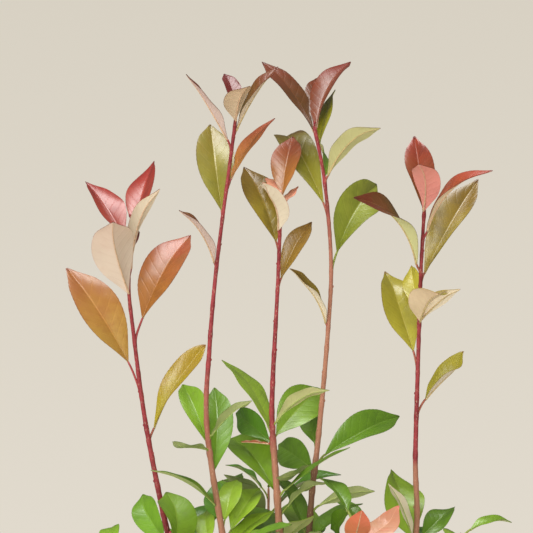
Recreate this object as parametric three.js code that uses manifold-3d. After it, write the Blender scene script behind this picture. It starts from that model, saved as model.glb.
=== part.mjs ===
// A young photinia shrub in a clay pot: five tall red shoots rise out of a dense green bush.
// Millimetres, +Z up, +X to the right, +Y to the back. The origin is the centre of the pot's
// flat underside. Bearings are degrees from +X towards +Y, and rises are degrees above level.

import Module from "manifold-3d";
import * as THREE from "three";
import { mergeVertices } from "three/addons/utils/BufferGeometryUtils.js";

const wasm = await Module();
wasm.setup();

// ---- Pot and soil ----

const POT = {
  height: 190,
  footRadius: 74,
  shoulderRadius: 94,
  rimRadius: 104,
  rimHeight: 38,
  edge: 3, // bevel along the rim
  step: 4, // from the shoulder down to where the wall bends inside
  wall: 8,
  floor: 10,
  sides: 36,
  drainRadius: 6,
  drainCircle: 38,
  drains: 3,
};
const SOIL = { top: 170, edgeDrop: 5, edgeWidth: 8 };
const GAP = 0.3; // left between neighbouring pieces

// ---- Wood ----

const TRUNK = {
  route: [[0, 0, SOIL.top + GAP], [1.5, -1, 215], [1, 0, 260], [0, 0, 300]],
  heights: [SOIL.top + GAP, 174, 182, 198, 240, 300],
  radii: [14.5, 11.5, 9.5, 8.6, 7.6, 6.4],
  sides: 10,
};
const STEM_SAMPLES = 12; // points along each stretch of a route
const STEM_TAPER = 1.7; // a stem thins quickly near its foot and slowly further up
const LIMB = { sides: 7, step: 34 };
const TWIG = {
  sides: 3,
  radius: [1.7, 0.9], // foot, tip
  length: [46, 78],
  rise: [22, 55], // low in the bush, high in the bush
  upturn: 22,
  bareFoot: 12,
  leaves: 4,
  fan: [96, 74, 52], // how far its leaves turn aside, from the foot up
  tipTurn: 20,
};

// ---- Leaves ----

const LEAF_THICKNESS = 1.3;
const STALK_RADIUS = 0.9;
const GOLDEN_ANGLE = 137.5;
const WIDTH_RATIO = 0.43; // of a bush leaf's length
const BUSH_LEAF = {
  length: [54, 80],
  stalk: [7, 12],
  rise: [2, 40], // low in the bush, high in the bush
  curl: [22, 48],
  turn: 12, // the last three are the reach of its chance either way
  roll: 25,
  tilt: 11,
};
const LEAF_FORM = { shoot: { roll: 0, curl: 25, fold: 28 }, bush: { fold: 16 } };
const BLADE_STATIONS = { shoot: [0.22, 0.52, 0.8], bush: [0.34, 0.72] };
const STALK_RISE = 80; // a stalk rises halfway between this and its blade

// ---- The bush's own limits ----

const BUSH = {
  floor: 197, // no bush leaf hangs lower
  ceiling: 470, // the outer bush stays lower
  middleRise: 62, // and this much higher at its centre
  middleReach: 76,
  frontDip: 44, // and this much lower at its front
  frontReach: 36,
  radius: 156,
  leafClearance: 6.5, // between blades of one mass
  massClearance: 8.5, // between blades of different masses
  woodClearance: 3.2,
};
const NODE_STEP = 19; // between leaves along a stem in the bush
const FIRST_NODE = 8;
const LIFT = { from: 250, over: 220 }; // heights over which leaves and twigs turn upwards
const WOOD_SAMPLE = 4; // between the points that stand for a stem
const CLOUD = { along: 10, across: [-0.95, -0.5, 0, 0.5, 0.95], nearStalk: 10 };
const TRIES = [[0, 1], [28, 0.95], [-28, 0.9], [56, 0.82], [-56, 0.76], [12, 0.66]]; // turn, size

// ---- Limbs ----
// A limb leaves the trunk at its route's first point. Its foliage stretches, by height, belong to
// the masses, and the bare stretches between them are the limb's own pieces. A leaf is
// [height on the stem, bearing, rise, length, width, stalk, extras].

const LIMBS = [
  {
    name: "left",
    route: [
      [0, 0, 236], [-45, 14, 330], [-80, 21, 420], [-106, 24, 535], [-119, 23, 628],
      [-122, 21, 664], [-120, 18, 716],
    ],
    radius: [4.4, 1.4],
    foliage: { low: [284, 440], top: [527, 716] },
    seed: 11,
    leaves: [
      [534, 45, 46, 88, 28, 10, { fold: 40, curl: 35 }],
      [571, 168, 56, 92, 40, 28, { roll: 55, curl: 30 }],
      [614, 46, 52, 87, 41, 20, { roll: -15, curl: 30 }],
      [641, 260, 43, 84, 40, 13, { roll: -40, curl: 35 }],
      [665, 312, 64, 72, 20, 8, { roll: -20, curl: 35 }],
      [678, 81, 31, 40, 11, 6, { roll: 15 }],
      [688, 132, 43, 69, 35, 11, { roll: 15, fold: 38, curl: 10 }],
      [696, 76, 42, 83, 30, 13, { roll: 10, fold: 30, curl: 0 }],
    ],
  },
  {
    name: "left_middle",
    route: [
      [0, 0, 254], [-20, -8, 312], [-33, -15, 385], [-46, -22, 465], [-58, -26, 549],
      [-56, -25, 610], [-50, -22, 679], [-38, -14, 772], [-35, -10, 797],
    ],
    radius: [4.1, 1.35],
    foliage: { low: [306, 545], top: [670, 797] },
    seed: 23,
    leaves: [
      [451, 59, 37, 54, 28, 15, { roll: -10, fold: 35, curl: 10 }],
      [463, 93, 23, 58, 28, 10, { roll: 25, curl: 5 }],
      [483, 221, 26, 72, 20, 2, { roll: 35, fold: 20, curl: 30 }],
      [505, 90, 54, 80, 28, 7, { roll: -20, curl: 35 }],
      [527, 117, 45, 65, 28, 7, { roll: 20, fold: 45, curl: 40 }],
      [528, 230, 2, 39, 18, 3, { roll: -10, fold: 10, curl: 20 }],
      [537, 314, 33, 54, 16, 4, { roll: -25, curl: 20 }],
      [674, 242, 37, 68, 22, 4, { roll: 50, fold: 35 }],
      [713, 103, 58, 84, 34, 6, { roll: 15, curl: 30 }],
      [735, 41, 48, 68, 21, 10, { roll: 5, fold: 15 }],
      [767, 225, 49, 67, 20, 9, { roll: 15, curl: 5 }],
      [778, 28, 55, 64, 25, 5, { roll: 25, curl: 15 }],
      [787, 286, 38, 41, 28, 4, { roll: -20, fold: 35, curl: 35 }],
      [797, 112, 52, 39, 16, 2, { roll: -10, fold: 30, curl: 40 }],
    ],
  },
  {
    name: "middle",
    route: [
      [0, 0, 300], [3, -2, 390], [-1, -6, 473], [-6, -6, 545], [-6, -5, 580], [-2, -4, 657],
      [1, -4, 730],
    ],
    radius: [5.0, 1.35],
    foliage: { low: [326, 556], top: [654, 730] },
    seed: 37,
    leaves: [
      [443, 111, 22, 85, 33, 3, { fold: 20, curl: 20 }],
      [488, 335, 33, 66, 16, 9, { roll: -25, fold: 10, curl: 15 }],
      [492, 122, 30, 80, 38, 2, { roll: 20, fold: 40, curl: 55 }],
      [529, 123, 22, 56, 22, 6, { roll: 45, fold: 20, curl: 35 }],
      [531, 185, 4, 22, 6, 3, { fold: 40, curl: 0 }],
      [535, 52, 32, 68, 35, 5, { roll: -35, fold: 20 }],
      [538, 138, 47, 73, 38, 8, { roll: -15, fold: 5, curl: 40 }],
      [547, 327, 29, 57, 19, 3, { roll: 10, fold: 20, curl: 50 }],
      [656, 55, 47, 63, 20, 10, { roll: -15, fold: 30, curl: 30 }],
      [686, 126, 55, 75, 35, 9, { roll: 5, fold: 20 }],
      [700, 247, 38, 54, 28, 4, { roll: 40, fold: 35, curl: 55 }],
      [717, 60, 32, 25, 9, 11, { fold: 15, curl: 0 }],
      [721, 78, 50, 65, 27, 11, { roll: 10, curl: 15 }],
      [729, 110, 27, 35, 11, 2, { roll: 10, fold: 15 }],
    ],
  },
  {
    name: "right_middle",
    route: [
      [0, 0, 262], [17, 8, 322], [20, 8, 400], [25, 7, 486], [31, 8, 540], [38, 7, 617],
      [41, 6, 677], [36, 5, 742], [27, 1, 790],
    ],
    radius: [4.1, 1.35],
    foliage: { low: [312, 538], top: [622, 790] },
    seed: 41,
    leaves: [
      [443, 100, 20, 87, 34, 2, { roll: -25, fold: 5, curl: 45 }],
      [476, 0, 16, 46, 12, 8, { roll: 60, fold: 15, curl: 45 }],
      [510, 115, 14, 68, 26, 2, { roll: 50, fold: 15, curl: 10 }],
      [511, 37, 21, 83, 36, 15, { roll: -30, fold: 40, curl: 15 }],
      [514, 233, -12, 46, 16, 2, { roll: -40, fold: 10, curl: -10 }],
      [520, 94, 42, 54, 21, 13, { roll: 40, fold: 15 }],
      [626, 218, 46, 58, 18, 3, { roll: 30, fold: 45, curl: 45 }],
      [671, 55, 45, 82, 41, 17, { roll: -20, fold: 40, curl: 45 }],
      [711, 117, 39, 106, 31, 17, { roll: 25, fold: 30, curl: 65 }],
      [741, 95, 33, 51, 16, 7, { roll: -55, fold: 25 }],
      [743, 312, 32, 70, 25, 5, { fold: 15, curl: 55 }],
      [771, 71, 49, 61, 23, 2, { roll: 25, fold: 20, curl: 15 }],
      [778, 135, 46, 83, 27, 5, { roll: -10, fold: 10 }],
      [781, 89, 40, 73, 18, 2, { roll: 20 }],
      [784, 64, 42, 86, 33, 2, { roll: 30, fold: 30, curl: 30 }],
    ],
  },
  {
    name: "right",
    route: [
      [0, 0, 250], [62, 10, 330], [100, 16, 410], [110, 16, 465], [109, 14, 522],
      [111, 10, 600], [113, 6, 671], [116, 3, 728],
    ],
    radius: [4.2, 1.4],
    foliage: { low: [288, 472], top: [553, 728] },
    seed: 53,
    leaves: [
      [447, 38, 32, 43, 24, 10, { roll: -45 }],
      [449, 119, 58, 65, 40, 5, { roll: 30, curl: 15 }],
      [450, 222, 60, 52, 16, 6, { roll: 15, fold: 15, curl: 20 }],
      [555, 22, 39, 51, 30, 14, { roll: 10, fold: 40, curl: 15 }],
      [590, 121, 60, 80, 37, 17, { roll: 25, fold: 30, curl: 0 }],
      [628, 282, 23, 60, 36, 3, { roll: -15, fold: 40 }],
      [629, 307, 28, 53, 18, 4, { roll: 20, fold: 30, curl: 25 }],
      [633, 96, 44, 56, 21, 4, { roll: 20, fold: 40, curl: 15 }],
      [660, 44, 51, 100, 38, 10, { roll: -5, fold: 40, curl: 0 }],
      [670, 212, 42, 80, 33, 7, { roll: 10, curl: 70 }],
      [696, 322, 40, 78, 26, 7, { roll: -35, curl: 55 }],
      [716, 101, 65, 67, 30, 4, { roll: -10, fold: 40, curl: 0 }],
      [716, 262, 44, 53, 25, 3, { roll: 30, fold: 20, curl: 50 }],
    ],
  },
  {
    name: "front_left",
    route: [[0, 0, 214], [-44, -38, 300], [-74, -52, 380], [-86, -48, 450], [-87, -46, 466]],
    radius: [4.0, 1.5],
    foliage: { low: [266, 466] },
    seed: 61,
    leaves: [
      [441, 95, 38, 75, 35, 7, { roll: -55, fold: 20, curl: 40 }],
      [448, 125, 41, 55, 24, 11, { roll: 70, fold: 20, curl: 35 }],
    ],
  },
  {
    name: "front",
    route: [[0, 0, 244], [-12, -46, 318], [-22, -64, 390], [-26, -62, 448]],
    radius: [3.8, 1.5],
    foliage: { low: [292, 448] },
    seed: 67,
    leaves: [],
  },
  {
    name: "front_right",
    route: [[0, 0, 232], [28, -48, 305], [48, -62, 385], [56, -54, 450], [57, -52, 474]],
    radius: [4.0, 1.5],
    foliage: { low: [274, 474] },
    seed: 71,
    leaves: [
      [445, 35, 28, 43, 24, 16, { roll: -20, fold: 5, curl: 0 }],
      [449, 277, 33, 51, 20, 7, { roll: 10, fold: 15, curl: 15 }],
      [474, 106, -19, 51, 19, 14, { roll: 75, fold: 15, curl: -10 }],
      [474, 127, 34, 44, 25, 10, { roll: -10, curl: 35 }],
    ],
  },
  {
    name: "right_side",
    route: [[0, 0, 206], [62, -14, 276], [112, -26, 350], [136, -22, 430], [142, -18, 462]],
    radius: [4.0, 1.5],
    foliage: { low: [262, 462] },
    seed: 83,
    leaves: [
      [443, 84, 9, 56, 30, 7, { roll: -20, fold: 20 }],
      [455, 28, 7, 39, 16, 15, { roll: -15, fold: 30, curl: 45 }],
    ],
  },
  {
    name: "back_right",
    route: [[0, 0, 228], [42, 42, 300], [68, 68, 400], [74, 74, 446]],
    radius: [3.9, 1.5],
    foliage: { low: [284, 446] },
    seed: 97,
    leaves: [],
  },
  {
    name: "back",
    route: [[0, 0, 248], [-6, 52, 318], [-8, 80, 390], [-10, 90, 450]],
    radius: [3.9, 1.5],
    foliage: { low: [292, 450] },
    seed: 101,
    leaves: [],
  },
  {
    name: "back_left",
    route: [[0, 0, 222], [-46, 46, 300], [-72, 74, 375], [-78, 84, 436]],
    radius: [4.0, 1.5],
    foliage: { low: [268, 436] },
    seed: 109,
    leaves: [],
  },
  {
    name: "left_side",
    route: [[0, 0, 200], [-62, -12, 268], [-106, -22, 340], [-120, -24, 408]],
    radius: [4.0, 1.5],
    foliage: { low: [254, 408] },
    seed: 127,
    leaves: [],
  },
];

const COLOURS = {
  clay: { color: 0xb5714c, roughness: 0.85, metalness: 0 },
  soil: { color: 0x3b2a1f, roughness: 1, metalness: 0 },
  bark: { color: 0x86694f, roughness: 0.8, metalness: 0 },
  shoot: { color: 0xb04a50, roughness: 0.55, metalness: 0 },
  green: { color: 0x5f9132, roughness: 0.45, metalness: 0 },
  bronze: { color: 0xa8623c, roughness: 0.45, metalness: 0 },
};

// ---- Small tools ----

const radians = THREE.MathUtils.degToRad;
const { clamp, lerp } = THREE.MathUtils;
const vector = ([x, y, z]) => new THREE.Vector3(x, y, z);

function heading(bearing, rise) {
  const level = Math.cos(radians(rise));
  const turn = radians(bearing);
  return new THREE.Vector3(level * Math.cos(turn), level * Math.sin(turn), Math.sin(radians(rise)));
}

// Repeatable numbers from 0 to 1.
function seededRandom(seed) {
  let state = seed;
  return () => {
    state = (state + 0x6d2b79f5) | 0;
    let mixed = Math.imul(state ^ (state >>> 15), 1 | state);
    mixed = (mixed + Math.imul(mixed ^ (mixed >>> 7), 61 | mixed)) ^ mixed;
    return ((mixed ^ (mixed >>> 14)) >>> 0) / 4294967296;
  };
}

function between([low, high], random) {
  return lerp(low, high, random());
}

function spread(reach, random) {
  return lerp(-reach, reach, random());
}

// ---- Solids ----

// A closed skin over rings of equal size. A ring of one point closes an end to a tip.
function loft(rings) {
  const positions = [];
  const indices = [];
  const starts = rings.map((ring) => {
    const start = positions.length / 3;
    ring.forEach((point) => positions.push(point.x, point.y, point.z));
    return start;
  });
  const count = rings[1].length;
  for (let r = 0; r + 1 < rings.length; r++) {
    for (let k = 0; k < count; k++) {
      const next = (k + 1) % count;
      const low = starts[r];
      const high = starts[r + 1];
      if (rings[r].length === 1) indices.push(low, high + next, high + k);
      else if (rings[r + 1].length === 1) indices.push(low + k, low + next, high);
      else indices.push(low + k, low + next, high + next, low + k, high + next, high + k);
    }
  }
  const last = starts[starts.length - 1];
  for (let k = 1; k + 1 < count; k++) {
    if (rings[0].length > 1) indices.push(starts[0], starts[0] + k + 1, starts[0] + k);
    if (rings[rings.length - 1].length > 1) indices.push(last, last + k, last + k + 1);
  }
  const geometry = new THREE.BufferGeometry();
  geometry.setAttribute("position", new THREE.Float32BufferAttribute(positions, 3));
  geometry.setIndex(indices);
  return geometry;
}

function toSolid(source) {
  const geometry = source.clone();
  geometry.deleteAttribute("normal");
  geometry.deleteAttribute("uv");
  const merged = mergeVertices(geometry, 1e-4);
  const vertProperties = new Float32Array(merged.getAttribute("position").array);
  const solid = (order) => {
    const triVerts = new Uint32Array(order);
    return new wasm.Manifold(new wasm.Mesh({ numProp: 3, vertProperties, triVerts }));
  };
  const order = Array.from(merged.index.array);
  const first = solid(order);
  return first.volume() > 0 ? first : solid(order.reverse());
}

// The largest connected part, so that a loose scrap or a sealed hollow goes.
function wholeBody(solid) {
  return solid.decompose().reduce((best, part) => (part.volume() > best.volume() ? part : best));
}

function joined(solids) {
  return wholeBody(solids.reduce((sum, solid) => sum.add(solid)));
}

function toMesh(solid, name, look) {
  const { vertProperties, triVerts } = solid.getMesh();
  const geometry = new THREE.BufferGeometry();
  geometry.setAttribute("position", new THREE.BufferAttribute(new Float32Array(vertProperties), 3));
  geometry.setIndex(new THREE.BufferAttribute(new Uint32Array(triVerts), 1));
  geometry.computeVertexNormals();
  const mesh = new THREE.Mesh(geometry, new THREE.MeshStandardMaterial(COLOURS[look]));
  mesh.name = name;
  return mesh;
}

// ---- Stems ----

// A smooth line through the route, as close points with their length along it.
function makeStem(route, radius) {
  const curve = new THREE.CatmullRomCurve3(route.map(vector), false, "catmullrom", 0.5);
  const count = (route.length - 1) * STEM_SAMPLES;
  const points = Array.from({ length: count + 1 }, (_, i) => curve.getPoint(i / count));
  const lengths = [0];
  for (let i = 1; i <= count; i++) lengths.push(lengths[i - 1] + points[i].distanceTo(points[i - 1]));
  return { points, lengths, total: lengths[count], radius };
}

function stemPlace(stem, measures, value) {
  let i = 1;
  while (i < measures.length - 1 && measures[i] < value) i++;
  const part = (value - measures[i - 1]) / (measures[i] - measures[i - 1]);
  const share = Math.min(1, Math.max(0, part));
  const length = lerp(stem.lengths[i - 1], stem.lengths[i], share);
  return {
    point: stem.points[i - 1].clone().lerp(stem.points[i], share),
    tangent: stem.points[i].clone().sub(stem.points[i - 1]).normalize(),
    radius: lerp(stem.radius[1], stem.radius[0], (1 - length / stem.total) ** STEM_TAPER),
    length,
  };
}

const atLength = (stem, length) => stemPlace(stem, stem.lengths, length);
const atHeight = (stem, height) => stemPlace(stem, stem.points.map((point) => point.z), height);

function ringAround({ point, tangent }, radius, sides) {
  const across = new THREE.Vector3(0, 1, 0).cross(tangent).normalize();
  const other = tangent.clone().cross(across);
  return Array.from({ length: sides }, (_, k) => {
    const turn = (2 * Math.PI * k) / sides;
    const outward = across.clone().multiplyScalar(Math.cos(turn)).addScaledVector(other, Math.sin(turn));
    return point.clone().addScaledVector(outward, radius);
  });
}

function stemSolid(stem, from, to, sides, step) {
  const count = Math.max(1, Math.round((to - from) / step));
  const rings = Array.from({ length: count + 1 }, (_, i) => {
    const place = atLength(stem, lerp(from, to, i / count));
    return ringAround(place, place.radius, sides);
  });
  return toSolid(loft(rings));
}

// ---- Leaves ----

// A blade's half width as a share of the widest, from its base (0) to its tip (1).
function outline(t) {
  return Math.sin(Math.PI * t ** 1.12) ** 0.8;
}

// Axes of a leaf: along its chord, to its side, and out of its upper face.
function leafAxes(leaf) {
  const along = heading(leaf.bearing, leaf.rise);
  const turn = radians(leaf.bearing);
  const side = new THREE.Vector3(Math.sin(turn), -Math.cos(turn), 0);
  const face = side.clone().cross(along);
  const roll = radians(leaf.roll);
  return {
    along,
    side: side.clone().multiplyScalar(Math.cos(roll)).addScaledVector(face, Math.sin(roll)),
    face: face.clone().multiplyScalar(Math.cos(roll)).addScaledVector(side, -Math.sin(roll)),
  };
}

// The point at t along the blade and v across it, from -1 to 1.
function bladePoint(leaf, axes, t, v) {
  const bend = radians(leaf.curl);
  const slope = (bend / 2) * (1 - 2 * t);
  const upper = axes.face.clone().multiplyScalar(Math.cos(slope));
  upper.addScaledVector(axes.along, -Math.sin(slope));
  const half = (leaf.width / 2) * outline(t) * v;
  const fold = radians(leaf.fold);
  return leaf.base
    .clone()
    .addScaledVector(axes.along, leaf.length * t)
    .addScaledVector(axes.face, (bend * leaf.length * t * (1 - t)) / 2)
    .addScaledVector(axes.side, half * Math.cos(fold))
    .addScaledVector(upper, Math.abs(half) * Math.sin(fold));
}

function leafSolid(leaf) {
  const axes = leafAxes(leaf);
  const stalkRing = (center) => {
    const { side, face } = axes;
    const offsets = [[-1, 0], [0, 1], [1, 0], [0, -1]];
    return offsets.map(([a, b]) => {
      return center.clone().addScaledVector(side, a * STALK_RADIUS).addScaledVector(face, b * STALK_RADIUS);
    });
  };
  const bladeRing = (t) => {
    const middle = bladePoint(leaf, axes, t, 0);
    const half = LEAF_THICKNESS / 2;
    return [
      bladePoint(leaf, axes, t, -1),
      middle.clone().addScaledVector(axes.face, half),
      bladePoint(leaf, axes, t, 1),
      middle.clone().addScaledVector(axes.face, -half),
    ];
  };
  const stations = BLADE_STATIONS[leaf.kind].map(bladeRing);
  const rings = [stalkRing(leaf.root)];
  if (leaf.kind === "shoot") rings.push(stalkRing(leaf.base));
  return toSolid(loft([...rings, ...stations, [bladePoint(leaf, axes, 1, 0)]]));
}

// A leaf on a stem: its stalk rises steeper than the blade and starts at the stem's middle.
function makeLeaf(place, kind, [bearing, rise, length, width, stalk, extras = {}]) {
  const reach = place.radius + stalk;
  const root = place.point.clone();
  const base = root.clone().addScaledVector(heading(bearing, (rise + STALK_RISE) / 2), reach);
  return { kind, root, base, bearing, rise, length, width, ...LEAF_FORM[kind], ...extras };
}

// ---- Room in the bush ----

// Points spread over a blade, which stand for it in the tests for room.
function leafCloud(leaf) {
  const axes = leafAxes(leaf);
  const cloud = [];
  for (let i = 1; i <= CLOUD.along; i++) {
    for (const v of CLOUD.across) cloud.push(bladePoint(leaf, axes, i / CLOUD.along, v));
  }
  return cloud;
}

function withinBush(point) {
  const lift = Math.max(0, 1 - (point.x / BUSH.middleReach) ** 2);
  const dip = clamp(-point.y / BUSH.frontReach, 0, 1);
  const ceiling = BUSH.ceiling + BUSH.middleRise * lift - BUSH.frontDip * dip;
  return point.z > BUSH.floor && point.z < ceiling && Math.hypot(point.x, point.y) < BUSH.radius;
}

const leafRoom = []; // { mass, cloud, centre, reach }
const woodRoom = []; // { owner, point, radius }

function claimLeaf(mass, cloud) {
  const centre = cloud.reduce((sum, point) => sum.add(point), new THREE.Vector3()).divideScalar(cloud.length);
  const reach = Math.max(...cloud.map((point) => point.distanceTo(centre)));
  leafRoom.push({ mass, cloud, centre, reach });
}

function claimStem(owner, stem, from = 0) {
  for (let length = from; length <= stem.total; length += WOOD_SAMPLE) {
    const { point, radius } = atLength(stem, length);
    woodRoom.push({ owner, point, radius });
  }
}

function clearOfLeaves(mass, cloud) {
  return leafRoom.every((other) => {
    const clearance = other.mass === mass ? BUSH.leafClearance : BUSH.massClearance;
    const near = cloud.filter((point) => point.distanceTo(other.centre) < other.reach + clearance);
    return near.every((point) => other.cloud.every((taken) => point.distanceTo(taken) > clearance));
  });
}

// The first points of a leaf's cloud may be near the stem that it grows on.
function clearOfWood(cloud, owner, ownPoints) {
  return cloud.every((point, i) => {
    return woodRoom.every((wood) => {
      const own = wood.owner === owner && i < ownPoints;
      return own || point.distanceTo(wood.point) > wood.radius + BUSH.woodClearance;
    });
  });
}

// ---- Growth ----

// Tries a leaf at a place on a stem, turned and smaller each time, until one has room.
function growLeaf(mass, owner, place, bearing, lift, random) {
  const aside = bearing + spread(BUSH_LEAF.turn, random);
  const length = between(BUSH_LEAF.length, random);
  const stalk = between(BUSH_LEAF.stalk, random);
  const curl = between(BUSH_LEAF.curl, random);
  const roll = spread(BUSH_LEAF.roll, random);
  const rise = lerp(...BUSH_LEAF.rise, lift) + spread(BUSH_LEAF.tilt, random);
  for (const [turn, scale] of TRIES) {
    const size = length * scale;
    const values = [aside + turn, rise, size, size * WIDTH_RATIO, stalk, { curl, roll }];
    const leaf = makeLeaf(place, "bush", values);
    const cloud = leafCloud(leaf);
    const inside = cloud.every(withinBush) && clearOfWood(cloud, owner, CLOUD.nearStalk);
    if (inside && clearOfLeaves(mass.name, cloud)) {
      claimLeaf(mass.name, cloud);
      mass.leaves.push(leaf);
      return;
    }
  }
}

// A side twig with leaves by turns to its left and right, and one at its tip.
function growTwig(mass, owner, place, bearing, lift, random) {
  const half = between(TWIG.length, random) / 2;
  const rise = lerp(...TWIG.rise, lift);
  const middle = place.point.clone().addScaledVector(heading(bearing, rise), half);
  const tip = middle.clone().addScaledVector(heading(bearing, rise + TWIG.upturn), half);
  const twig = makeStem([place.point, middle, tip].map((point) => point.toArray()), TWIG.radius);
  const outer = twig.points.filter((_, i) => twig.lengths[i] > TWIG.bareFoot);
  const free = outer.every(withinBush) && clearOfWood(outer, owner, 0);
  if (!free || !clearOfLeaves(mass.name, outer)) return;
  const name = `${mass.name}_twig_${mass.twigs.length}`;
  mass.twigs.push(twig);
  claimStem(name, twig, TWIG.bareFoot);
  for (let k = 1; k <= TWIG.leaves; k++) {
    const turn = k === TWIG.leaves ? TWIG.tipTurn : (k % 2 ? 1 : -1) * TWIG.fan[k - 1];
    const node = atLength(twig, (twig.total * k) / TWIG.leaves);
    growLeaf(mass, name, node, bearing + turn, lift, random);
  }
}

// Leaves and twigs by turns up a stem, each a golden angle on from the one below.
function growBush(mass, limb, from, to) {
  const random = seededRandom(limb.seed);
  const end = atHeight(limb.stem, to).length;
  let bearing = random() * 360;
  let turns = 0;
  for (let length = atHeight(limb.stem, from).length + FIRST_NODE; length < end; length += NODE_STEP) {
    const place = atLength(limb.stem, length);
    const lift = clamp((place.point.z - LIFT.from) / LIFT.over, 0, 1);
    if (turns % 2 === 0) growTwig(mass, limb.name, place, bearing + TWIG.tipTurn, lift, random);
    growLeaf(mass, limb.name, place, bearing, lift, random);
    bearing += GOLDEN_ANGLE;
    turns++;
  }
}

// ---- Sub-parts ----

function turned(profile) {
  const points = profile.map(([radius, height]) => new THREE.Vector2(radius, height));
  return toSolid(new THREE.LatheGeometry(points, POT.sides).rotateX(Math.PI / 2));
}

function potMesh() {
  const { height, footRadius, shoulderRadius, rimRadius, rimHeight, edge, step, wall, floor } = POT;
  const shoulder = height - rimHeight;
  let pot = turned([
    [0, 0], [footRadius, 0], [shoulderRadius, shoulder], [rimRadius, shoulder + edge],
    [rimRadius, height - edge], [rimRadius - edge, height], [rimRadius - edge - wall, height],
    [shoulderRadius - wall, shoulder - step], [footRadius - wall, floor], [0, floor],
  ]);
  for (let k = 0; k < POT.drains; k++) {
    const turn = (2 * Math.PI * (k + 0.25)) / POT.drains;
    const drain = new THREE.CylinderGeometry(POT.drainRadius, POT.drainRadius, 4 * floor, 12);
    drain.rotateX(Math.PI / 2);
    drain.translate(POT.drainCircle * Math.cos(turn), POT.drainCircle * Math.sin(turn), 0);
    pot = pot.subtract(toSolid(drain));
  }
  return toMesh(pot, "pot", "clay");
}

// The soil fills the pot a gap clear of its inner wall, and is level around the trunk.
function soilMesh() {
  const { height, footRadius, shoulderRadius, rimRadius, rimHeight, edge, step, wall, floor } = POT;
  const bend = height - rimHeight - step;
  const inset = wall + 2 * GAP;
  const brim = SOIL.top - SOIL.edgeDrop;
  const brimRadius = lerp(shoulderRadius, rimRadius - edge, (brim - bend) / (height - bend)) - inset;
  const soil = turned([
    [0, floor + GAP], [footRadius - inset, floor + GAP], [shoulderRadius - inset, bend],
    [brimRadius, brim], [brimRadius - SOIL.edgeWidth, SOIL.top], [0, SOIL.top],
  ]);
  return toMesh(soil, "soil", "soil");
}

// The trunk, or the room around it that its boughs keep clear of.
function trunkSolid(extra) {
  const stem = makeStem(TRUNK.route, [1, 1]);
  const last = TRUNK.heights.length - 1;
  const rings = TRUNK.heights.map((height, i) => {
    const place = atHeight(stem, height);
    if (i === 0 || i === last) place.tangent.set(0, 0, 1);
    if (i === last) place.point.z += extra;
    return ringAround(place, TRUNK.radii[i] + extra, TRUNK.sides);
  });
  return toSolid(loft(rings));
}

function foliageSolid(stem, mass, from, to) {
  const core = stemSolid(stem, from + GAP / 2, to - GAP / 2, LIMB.sides, LIMB.step);
  const twigs = mass.twigs.map((twig) => stemSolid(twig, 0, twig.total, TWIG.sides, twig.total / 2));
  return joined([core, ...twigs, ...mass.leaves.map(leafSolid)]);
}

// A limb's pieces from the trunk up: its bough, the low foliage, the bare shoot and the top foliage.
function limbMeshes(limb, trunkRoom) {
  const { stem, foliage, masses, name } = limb;
  const meshes = [];
  let bareFrom = 0;
  for (const part of Object.keys(foliage)) {
    const [from, to] = foliage[part].map((height) => atHeight(stem, height).length);
    const bare = stemSolid(stem, bareFrom, from - GAP / 2, LIMB.sides, LIMB.step);
    if (part === "low") meshes.push(toMesh(wholeBody(bare.subtract(trunkRoom)), `${name}_bough`, "bark"));
    else meshes.push(toMesh(bare, `${name}_shoot`, "shoot"));
    const look = part === "low" ? "green" : "bronze";
    meshes.push(toMesh(foliageSolid(stem, masses[part], from, to), masses[part].name, look));
    bareFrom = to + GAP / 2;
  }
  return meshes;
}

// ---- The plant ----

for (const limb of LIMBS) {
  limb.stem = makeStem(limb.route, limb.radius);
  limb.masses = {};
  claimStem(limb.name, limb.stem);
}
for (const limb of LIMBS) {
  for (const [part, [from, to]] of Object.entries(limb.foliage)) {
    const mass = { name: `${limb.name}_${part}_foliage`, leaves: [], twigs: [] };
    for (const [height, ...values] of limb.leaves.filter(([height]) => height >= from && height <= to)) {
      const leaf = makeLeaf(atHeight(limb.stem, height), "shoot", values);
      mass.leaves.push(leaf);
      claimLeaf(mass.name, leafCloud(leaf));
    }
    limb.masses[part] = mass;
  }
}
for (const limb of LIMBS) {
  growBush(limb.masses.low, limb, ...limb.foliage.low);
}

const photinia = new THREE.Group();
photinia.add(potMesh(), soilMesh(), toMesh(trunkSolid(0), "trunk", "bark"));
const trunkRoom = trunkSolid(GAP);
for (const limb of LIMBS) {
  photinia.add(...limbMeshes(limb, trunkRoom));
}

export default photinia;
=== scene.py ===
# A young photinia shrub in a clay pot: five tall red shoots rise out of a dense green bush.
# The tables are in millimetres and degrees: +Z up, +X to the right, +Y to the back, from the
# centre of the pot's flat underside. Bearings turn from +X towards +Y, and rises are above level.
# Meshes are made in metres.

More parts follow.
